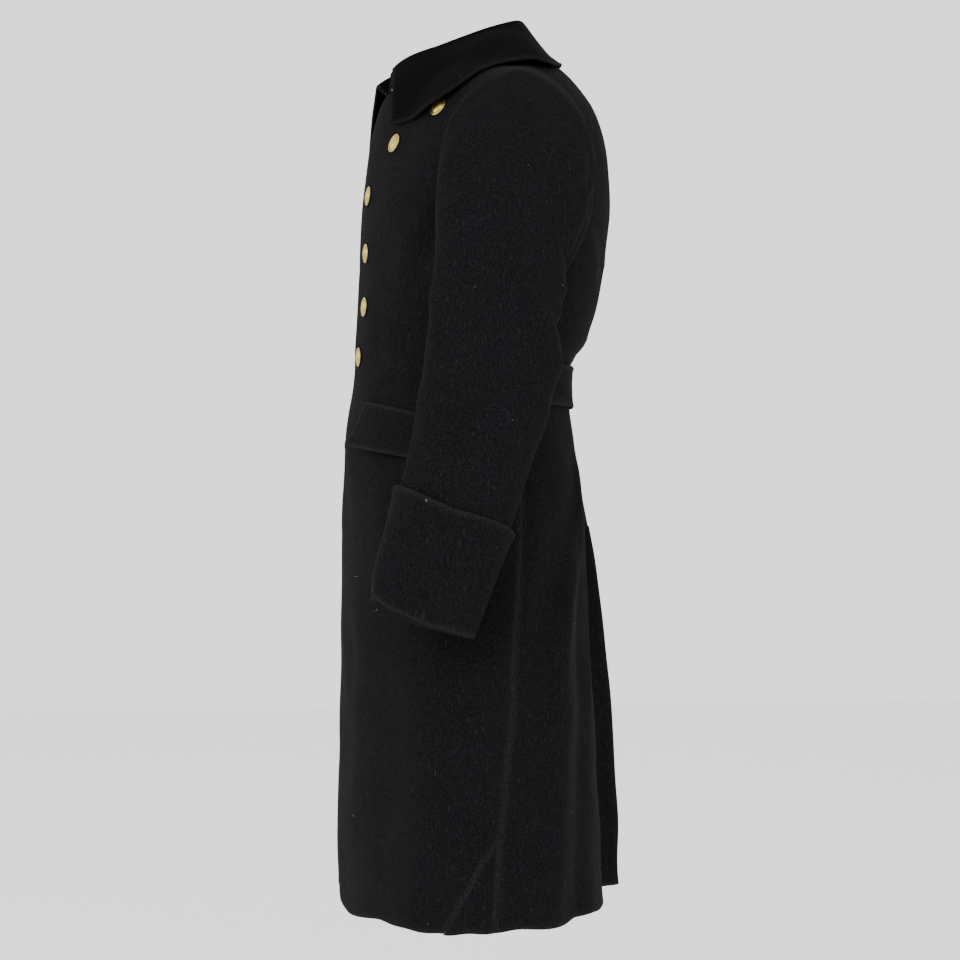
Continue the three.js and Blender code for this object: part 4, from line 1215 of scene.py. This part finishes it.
def collarStation(share, samples):
    sign = -1.0 if share < 0 else 1.0
    last = len(collar["rows"]) - 1
    at = last * (1 - abs(share))
    near = {key: float(along(collar["rows"], "i", key, at)) for key in collar["rows"][0]}
    seat = neckPoint(np.array(sign * near["seam"])) * np.array([0.975, 1, 1])
    seat = seat + np.array([0, 1.8 * math.cos(math.radians(near["seam"])), 2.6])
    fold = np.array([sign * near["fx"], near["fy"], near["fz"]])
    lip = np.array([sign * near["lx"], near["ly"], near["lz"]])
    if sign < 0:
        droop = float(ease((abs(share) - 0.6) / 0.4))
        fold = fold + np.array(collar["foldDroop"]) * droop
        lip = lip + np.array(collar["lipDroop"]) * droop
    outFlat = np.array([lip[0] - fold[0], lip[1] - fold[1], 0])
    outFlat = outFlat / np.linalg.norm(outFlat)
    up = np.array([0, 0, 1.0])

    def fall(t):
        p = lerp(fold, lip, t) + outFlat * 7 * (1 - t) + up * near["swell"] * math.sin(math.pi * t)
        return standOff(p, samples, collar["lift"])

    return np.array([
        seat,
        lerp(seat, fold, 0.5) - outFlat,
        lerp(seat, fold, 0.86) - outFlat * 1.5,
        fold + up,
        fold + outFlat * 5 + up * 2.5,
        fold + outFlat * 10 - up * 2,
        fall(0.3),
        fall(0.53),
        fall(0.77),
        fall(1),
    ])


def makeCollar():
    samples = bodySamples()
    steps = collar["stations"]
    coarse = np.array([collarStation(1 - 2 * i / steps, samples) for i in range(steps + 1)])
    fine = curveThrough(coarse, np.linspace(0, steps, 133))
    i = np.linspace(0, collar["points"], 52)
    fine = curveThrough(fine.swapaxes(0, 1).copy(), i).swapaxes(0, 1)
    normal = ownNormals(fine, 1)
    i = i[None, :]
    u = np.linspace(0, 1, len(fine))[:, None] * collar["around"]
    step = collar["deep"] / collar["points"]
    # a soft roll, waves along the free edge and a light line pressed beside it
    onFall = ease((i - 5) / 2.5)
    lift = 0.8 * ripple(u, i * step, 95, 51) * onFall
    edge = (collar["points"] - i) * step
    lift = lift + 1.2 * ease((i - 7) / 2) * np.abs(ripple(u, i * 0, 150, 52))
    lift = lift - 0.45 * bell(edge - 9, 2.2)
    ends = np.minimum(u, collar["around"] - u)
    lift = lift - 0.45 * bell(ends - 9, 2.2) * onFall
    fine = fine + normal * lift[..., None]
    makeCloth("collarShadedWool", "collar", "collar", fine, ownNormals(fine, 1), collar["wall"], False, 1.0)
    return fine, normal


collarGrid = makeCollar()
print("collar made")

# ---- pocket flaps and half belt ----


flap = {
    "wide": 156.0,
    "high": 57.0,
    "lift": 4.4,
    "wall": 3.2,
    "corners": table("i topAngle topZ lowAngle lowZ left right", [
        (0, 31, -441, 23, -495, 10, 3), (1, 48, -450, 47, -507, 6, 3),
        (2, 64, -462, 66, -519, 3, 3), (3, 79, -474, 82, -531, 2, 2),
    ]),
}


def makeFlap(sign):
    word = "Left" if sign > 0 else "Right"
    at = np.linspace(0, 3, 66)[None, :]
    t = np.linspace(0, 1, 28)[:, None]
    columns = {key: [row[key] for row in flap["corners"]] for key in flap["corners"][0]}
    value = {key: np.interp(at, columns["i"], column) for key, column in columns.items()}
    # the two lower corners are cut a little round
    step = flap["wide"] / 3
    endways = np.minimum(at, 3 - at) * step
    rounded = 5.0 * np.clip(1 - endways / 9, 0, 1)**2
    angle = sign * lerp(value["topAngle"], value["lowAngle"], t)
    z = lerp(value["topZ"], value["lowZ"] + rounded, t)
    angle, z = np.broadcast_arrays(angle, z)
    none = np.zeros(z.shape)
    normal = bodyNormals(angle, z, none)
    seed = 61 if sign > 0 else 62
    lift = flap["lift"] + value[word.lower()] * t * t
    lift = lift + 0.7 * ripple(at * step, t * flap["high"], 70, seed) * t
    fromEdge = (1 - t) * flap["high"]
    lift = lift - 0.6 * bell(fromEdge - 10, 2) + 0.4 * bell(fromEdge - 5, 3)
    outer = bodyPoint(angle, z, none) + normal * lift[..., None]
    if sign < 0:
        outer, normal = outer[:, ::-1], normal[:, ::-1]
    name, node = f"pocketFlap{word}Wool", f"pocket_flap_{word.lower()}"
    makeCloth(name, node, "pocketFlap", outer, normal, flap["wall"], False, 0.9)
    return outer, normal


belt = {
    "lift": 4.2, "wall": 3.2, "lowZ": -446, "highZ": -394, "middleZ": -420, "half": 26, "high": 52,
    "flare": 1.6, "end": 108, "stitchInset": 7.0,
}


def makeHalfBelt():
    left = np.linspace(belt["end"], 180, 76)
    angle = np.concatenate([left, -left[::-1][1:]])[None, :]
    z = np.linspace(belt["lowZ"], belt["highZ"], 20)[:, None]
    angle, z = np.broadcast_arrays(angle, z)
    none = np.zeros(z.shape)
    normal = bodyNormals(angle, z, none)
    flare = belt["flare"] * ((z - belt["middleZ"]) / belt["half"])**2
    fromEdge = np.minimum(z - belt["lowZ"], belt["highZ"] - z)
    lift = belt["lift"] + flare - 0.5 * bell(fromEdge - belt["stitchInset"], 1.8)
    lift = lift + 0.5 * np.abs(ripple(angle % 360 * body["perDegree"], z, 70, 63))
    outer = bodyPoint(angle, z, none) + normal * lift[..., None]
    makeCloth("halfBeltWool", "half_belt", "halfBelt", outer, normal, belt["wall"], False, 0.9)
    return outer, normal


flapGrids = {sign: makeFlap(sign) for sign in (1, -1)}
beltGrid = makeHalfBelt()
print("flaps and half belt made")

# ---- buttons ----

buttons = {
    "segments": 56,
    "proud": 1.1,           # how far the back of the shank stands off plain cloth
    # radius, height and how dark the old polish lies there
    "profile": [
        (0.01, 0.0, 0), (9.0, 0.0, 0), (10.6, 0.05, 0), (11.6, 0.35, 0.2), (12.0, 0.9, 0), (12.0, 1.5, 0),
        (11.75, 1.95, 0), (11.35, 2.25, 0), (10.8, 2.33, 0), (10.35, 2.2, 0), (10.05, 1.9, 0.5),
        (9.75, 1.68, 1), (9.4, 1.74, 0.9), (9.0, 2.0, 0.35), (8.2, 2.55, 0), (7.0, 3.18, 0), (5.6, 3.75, 0),
        (4.0, 4.2, 0), (2.2, 4.5, 0), (0.01, 4.6, 0),
    ],
}


def bodySpotAt(sign, x, z):
    # the place on the plain body at one breadth and height, and its outward direction
    angle, rise = np.meshgrid(np.arange(2, 80, 0.25), np.arange(0, 0.8, 0.004), indexing="ij")
    if z < body["chestZ"]:
        angle, rise = angle[:, :1], rise[:, :1]
    base = np.full(angle.shape, min(z, body["chestZ"]))
    p = bodyPoint(sign * angle, base, rise, 0.0)
    off = (np.abs(p[..., 0]) - x)**2 + (p[..., 2] - z)**2
    k = np.unravel_index(off.argmin(), off.shape)
    one = (np.array([sign * angle[k]]), np.array([base[k]]), np.array([rise[k]]))
    return p[k], bodyNormals(*one)[0]


def makeButton(sign, index, spot):
    word = "Left" if sign > 0 else "Right"
    at, outward = bodySpotAt(sign, spot[word.lower() + "X"], spot["z"])
    at = at + outward * (buttons["proud"] - spot[word.lower()])
    axes = np.array(Vector(outward).to_track_quat("Z", "Y").to_matrix())
    around = np.linspace(0, 2 * math.pi, buttons["segments"], endpoint=False)
    profile = buttons["profile"]
    circle = np.stack([np.cos(around), np.sin(around), 0 * around], -1)
    rings = np.concatenate([radius * circle + (0, 0, high) for radius, high, unused in profile])
    points = (rings @ axes.T + at) * 0.001
    count = buttons["segments"]
    faces = [tuple(range(count - 1, -1, -1))]
    for j in range(len(profile) - 1):
        for i in range(count):
            k = (i + 1) % count
            faces.append((j * count + i, j * count + k, (j + 1) * count + k, (j + 1) * count + i))
    faces.append(tuple((len(profile) - 1) * count + i for i in range(count)))
    name = f"button{word}{index}"
    mesh = bpy.data.meshes.new(name)
    mesh.from_pydata(points.tolist(), [], faces)
    mesh.shade_smooth()
    groove = np.repeat([dark for unused, alsoUnused, dark in profile], count)
    mesh.attributes.new("groove", "FLOAT", "POINT").data.foreach_set("value", groove.astype(np.float32))
    addPiece(name + "Brass", mesh, f"button_{word.lower()}_{index}", satinBrass)


for sign in (1, -1):
    for index, spot in enumerate(body["buttonSpots"], 1):
        makeButton(sign, index, spot)
print("buttons made")

# ---- stitches, nap, hem fuzz and lint ----

stitch = {
    "length": 2.9, "width": 0.42, "apart": 4.2, "sink": 0.07,
    "flapInset": 10.0, "cuffInset": 13.0, "collarInset": 10.0,
}

hairs = {
    # how many to a square metre, length and thickness in millimetres, how far they lean and droop
    "nap": {"density": 9000.0, "length": 2.2, "thick": 0.10, "lean": 0.75, "droop": 0.9, "seed": 5},
    "fuzz": {"density": 150000.0, "length": 3.2, "thick": 0.09, "lean": 0.8, "droop": 1.2, "seed": 6},
    "lint": {"density": 26.0, "length": 4.2, "thick": 0.26, "lean": 1.1, "droop": 0.2, "seed": 7},
    "speck": {"density": 1500000.0, "length": 2.4, "thick": 0.4, "lean": 1.0, "droop": 0.1, "seed": 8},
}


def newTree(name, inputs):
    tree = bpy.data.node_groups.new(name, "GeometryNodeTree")
    for way in ("INPUT", "OUTPUT"):
        tree.interface.new_socket("Geometry", in_out=way, socket_type="NodeSocketGeometry")
    for key in inputs:
        kind = "NodeSocketInt" if key == "Seed" else "NodeSocketFloat"
        tree.interface.new_socket(key, in_out="INPUT", socket_type=kind)
    return tree, tree.nodes.new("NodeGroupInput").outputs


def endTree(tree, result, finish):
    real = addNode(tree, "GeometryNodeRealizeInstances", {"Geometry": result}).outputs["Geometry"]
    paint = addNode(tree, "GeometryNodeSetMaterial", {"Geometry": real, "Material": finish})
    addNode(tree, "NodeGroupOutput", {"Geometry": paint.outputs["Geometry"]})
    return tree


def combine(tree, x, y, z):
    return addNode(tree, "ShaderNodeCombineXYZ", {"X": x, "Y": y, "Z": z}).outputs["Vector"]


def operate(tree, kind, operation, values):
    # inputs that share a name are given by their number
    return addNode(tree, kind, values, operation=operation).outputs[0]


def randomIn(tree, kind, low, high, seed):
    node = addNode(tree, "FunctionNodeRandomValue", data_type=kind)
    fill(tree, node, {"Min": low, "Max": high, "Seed": seed})
    return next(socket for socket in node.outputs if socket.enabled)


def stitchTree(finish):
    # short stitches laid one after another along a seam line
    tree, given = newTree("stitchRows", ("Apart", "Length", "Width", "Seed"))
    curve = addNode(tree, "GeometryNodeMeshToCurve", {"Mesh": given["Geometry"]}).outputs["Curve"]
    even = addNode(tree, "GeometryNodeResampleCurve", {
        "Curve": curve, "Length": given["Apart"],
    }, mode="LENGTH")
    bead = addNode(tree, "GeometryNodeMeshIcoSphere", {"Radius": 0.5, "Subdivisions": 1})
    outward = addNode(tree, "GeometryNodeInputNamedAttribute", {"Name": "outward"}, data_type="FLOAT_VECTOR")
    tangent = addNode(tree, "GeometryNodeInputTangent").outputs["Tangent"]
    lay = addNode(tree, "FunctionNodeAlignRotationToVector", {"Vector": tangent}, axis="X")
    stand = addNode(tree, "FunctionNodeAlignRotationToVector", {
        "Rotation": lay.outputs["Rotation"], "Vector": outward.outputs["Attribute"],
    }, axis="Z", pivot_axis="X")
    uneven = randomIn(tree, "FLOAT", 0.82, 1.12, given["Seed"])
    length = operate(tree, "ShaderNodeMath", "MULTIPLY", {0: given["Length"], 1: uneven})
    row = addNode(tree, "GeometryNodeInstanceOnPoints", {
        "Points": even.outputs["Curve"], "Instance": bead.outputs["Mesh"],
        "Rotation": stand.outputs["Rotation"], "Scale": combine(tree, length, given["Width"], given["Width"]),
    })
    return endTree(tree, row.outputs["Instances"], finish)


def hairTree(name, finish):
    # fine three-sided hairs scattered on the cloth, leaning every way and drooping
    tree, given = newTree(name, ("Density", "Length", "Thickness", "Lean", "Droop", "Seed"))
    scatter = addNode(tree, "GeometryNodeDistributePointsOnFaces", {
        "Mesh": given["Geometry"], "Density": given["Density"], "Seed": given["Seed"],
    }).outputs
    hair = addNode(tree, "GeometryNodeMeshCone", {
        "Vertices": 3, "Radius Top": 0.12, "Radius Bottom": 0.5, "Depth": 1.0,
    }, fill_type="NONE")
    wander = randomIn(tree, "FLOAT_VECTOR", (-1, -1, -1), (1, 1, 1), given["Seed"])
    leaned = operate(tree, "ShaderNodeVectorMath", "SCALE", {0: wander, "Scale": given["Lean"]})
    way = operate(tree, "ShaderNodeVectorMath", "ADD", {0: leaned, 1: scatter["Normal"]})
    droop = combine(tree, 0.0, 0.0, given["Droop"])
    way = operate(tree, "ShaderNodeVectorMath", "SUBTRACT", {0: way, 1: droop})
    point = addNode(tree, "FunctionNodeAlignRotationToVector", {"Vector": way}, axis="Z")
    uneven = randomIn(tree, "FLOAT", 0.45, 1.25, given["Seed"])
    length = operate(tree, "ShaderNodeMath", "MULTIPLY", {0: given["Length"], 1: uneven})
    coat = addNode(tree, "GeometryNodeInstanceOnPoints", {
        "Points": scatter["Points"], "Instance": hair.outputs["Mesh"], "Rotation": point.outputs["Rotation"],
        "Scale": combine(tree, given["Thickness"], given["Thickness"], length),
    })
    return endTree(tree, coat.outputs["Instances"], finish)


def growPiece(name, base, tree, values, finish):
    # runs a tree on a base mesh and keeps the result as a plain mesh
    carrier = bpy.data.objects.new(name + "Carrier", base)
    bpy.context.collection.objects.link(carrier)
    modifier = carrier.modifiers.new("grow", "NODES")
    modifier.node_group = tree
    for socket in tree.interface.items_tree:
        if socket.in_out == "INPUT" and socket.name in values:
            modifier[socket.identifier] = values[socket.name]
    solid = carrier.evaluated_get(bpy.context.evaluated_depsgraph_get())
    mesh = bpy.data.meshes.new_from_object(solid)
    carrier.modifiers.remove(modifier)
    bpy.data.objects.remove(carrier)
    mesh.name = name
    mesh.materials.clear()
    for attribute in list(mesh.attributes):
        if attribute.name in ("outward", "paintedEdgeSheen"):
            mesh.attributes.remove(attribute)
    print(name, len(mesh.polygons), "faces")
    return addPiece(name, mesh, None, finish)


def onGrid(grid, row, column):
    # points at fractional places of a grid, by rows and columns
    rows, columns = grid.shape[:2]
    row = np.clip(np.asarray(row, float), 0, rows - 1)
    column = np.clip(np.asarray(column, float), 0, columns - 1)
    j = np.minimum(row.astype(int), rows - 2)
    i = np.minimum(column.astype(int), columns - 2)
    v = (row - j)[..., None]
    u = (column - i)[..., None]
    low = lerp(grid[j, i], grid[j, i + 1], u)
    return lerp(low, lerp(grid[j + 1, i], grid[j + 1, i + 1], u), v)


def walk(corners, steps):
    # even steps along straight runs between (row, column) corners
    places = []
    for start, end in zip(corners[:-1], corners[1:]):
        share = np.linspace(0, 1, steps)[:, None]
        places.append(lerp(np.array(start, float), np.array(end, float), share))
    return np.concatenate(places)


def seamLines():
    # each line is a grid of points, its outward directions and the places that the seam runs through
    lines = []

    def addLine(grid, corners, steps):
        lines.append((*grid, walk(corners, steps)))

    for sign in (1, -1):
        rows, columns = (count - 1 for count in flapGrids[sign][0].shape[:2])
        low = rows * (1 - stitch["flapInset"] / flap["high"])
        end = columns * stitch["flapInset"] / flap["wide"]
        addLine(flapGrids[sign], [(1, end), (low, end), (low, columns - end), (1, columns - end)], 60)
        around = [np.concatenate([grid, grid[:, :1]], axis=1) for grid in cuffGrids[sign]]
        rows, columns = (count - 1 for count in around[0].shape[:2])
        down = rows * stitch["cuffInset"] / cuff["high"]
        addLine(around, [(down, 0), (down, columns)], 260)
    rows, columns = (count - 1 for count in collarGrid[0].shape[:2])
    low = columns * (1 - stitch["collarInset"] / collar["deep"])
    end = rows * stitch["collarInset"] / collar["around"]
    addLine(collarGrid, [(end, 33), (end, low), (rows - end, low), (rows - end, 33)], 220)
    rows, columns = (count - 1 for count in beltGrid[0].shape[:2])
    inset = rows * belt["stitchInset"] / belt["high"]
    for row in (inset, rows - inset):
        addLine(beltGrid, [(row, 1), (row, columns - 1)], 240)
    return lines


def makeStitches():
    spots, outward, edges = [], [], []
    count = 0
    for outer, normal, places in seamLines():
        own = onGrid(normal, places[:, 0], places[:, 1])
        spots.append((onGrid(outer, places[:, 0], places[:, 1]) - own * stitch["sink"]) * 0.001)
        outward.append(own)
        edges += [(count + k, count + k + 1) for k in range(len(places) - 1)]
        count += len(places)
    base = bpy.data.meshes.new("stitchLines")
    base.from_pydata(np.concatenate(spots).tolist(), edges, [])
    flat = np.concatenate(outward).astype(np.float32).ravel()
    base.attributes.new("outward", "FLOAT_VECTOR", "POINT").data.foreach_set("vector", flat)
    values = {key.capitalize(): stitch[key] * 0.001 for key in ("apart", "length", "width")}
    values["Seed"] = 3
    growPiece("seamStitches", base, stitchTree(blackThread), values, blackThread)


def skinMesh(name, grids):
    # plain faces over several grids, all facing outwards
    spots, faces = [], []
    count = 0
    for outer, normal in grids:
        rows, columns = outer.shape[:2]
        j, i = np.meshgrid(np.arange(rows - 1), np.arange(columns - 1), indexing="ij")
        a = (j * columns + i).ravel()
        quads = np.stack([a, a + 1, a + columns + 1, a + columns], -1)
        flat = outer.reshape(-1, 3)
        facing = np.cross(flat[quads[:, 2]] - flat[quads[:, 0]], flat[quads[:, 3]] - flat[quads[:, 1]])
        if (facing * normal.reshape(-1, 3)[quads[:, 0]]).sum() < 0:
            quads = quads[:, ::-1]
        faces.append(quads + count)
        spots.append(flat * 0.001)
        count += len(flat)
    mesh = bpy.data.meshes.new(name)
    mesh.from_pydata(np.concatenate(spots).tolist(), [], np.concatenate(faces).tolist())
    return mesh


def sleeveSkin(sign):
    return sleeveSurface(sign, np.linspace(0.3, 11.8, 90), np.linspace(-90, 270, 90))


def growHairs(name, base, kind, finish):
    hair = hairs[kind]
    values = {key.capitalize(): hair[key] for key in ("density", "lean", "droop", "seed")}
    values["Length"] = hair["length"] * 0.001
    values["Thickness"] = hair["thick"] * 0.001
    growPiece(name, base, hairTree(name + "Tree", finish), values, finish)


def patchOf(grid, row, column, reach):
    # a small square of the cloth about one place
    rows = np.linspace(row - reach, row + reach, 3)[:, None] + np.zeros((1, 3))
    columns = np.linspace(column - reach, column + reach, 3)[None, :] + np.zeros((3, 1))
    outer, normal = grid
    return onGrid(outer, rows, columns), onGrid(normal, rows, columns)


bodyGrids = [frontLeftGrid, frontRightGrid, backLeftGrid, backRightGrid]
makeStitches()
napSkin = bodyGrids + [sleeveSkin(1), sleeveSkin(-1), *cuffGrids.values(), *flapGrids.values(), beltGrid]
growHairs("napFibres", skinMesh("napSkin", napSkin), "nap", napHair)
hemSkin = []
for outer, normal in bodyGrids:
    low = outer[:1]
    hemSkin.append((np.concatenate([low, lerp(low, outer[1:2], 0.5)]), normal[:2]))
    under = low - normal[:1] * body["wall"]
    down = np.zeros(under.shape) - (0, 0, 1)
    hemSkin.append((np.concatenate([under, low]), np.concatenate([down, down])))
growHairs("hemFuzz", skinMesh("hemSkin", hemSkin), "fuzz", napHair)
growHairs("paleLint", skinMesh("lintSkin", napSkin + [collarGrid]), "lint", lintHair)
lintSpots = [patchOf(collarGrid, 1.2, 39.7, 0.35), patchOf(cuffGrids[1], 1.0, 46.7, 0.35)]
growHairs("lintSpecks", skinMesh("lintSpots", lintSpots), "speck", lintHair)
print("stitches and hairs grown")
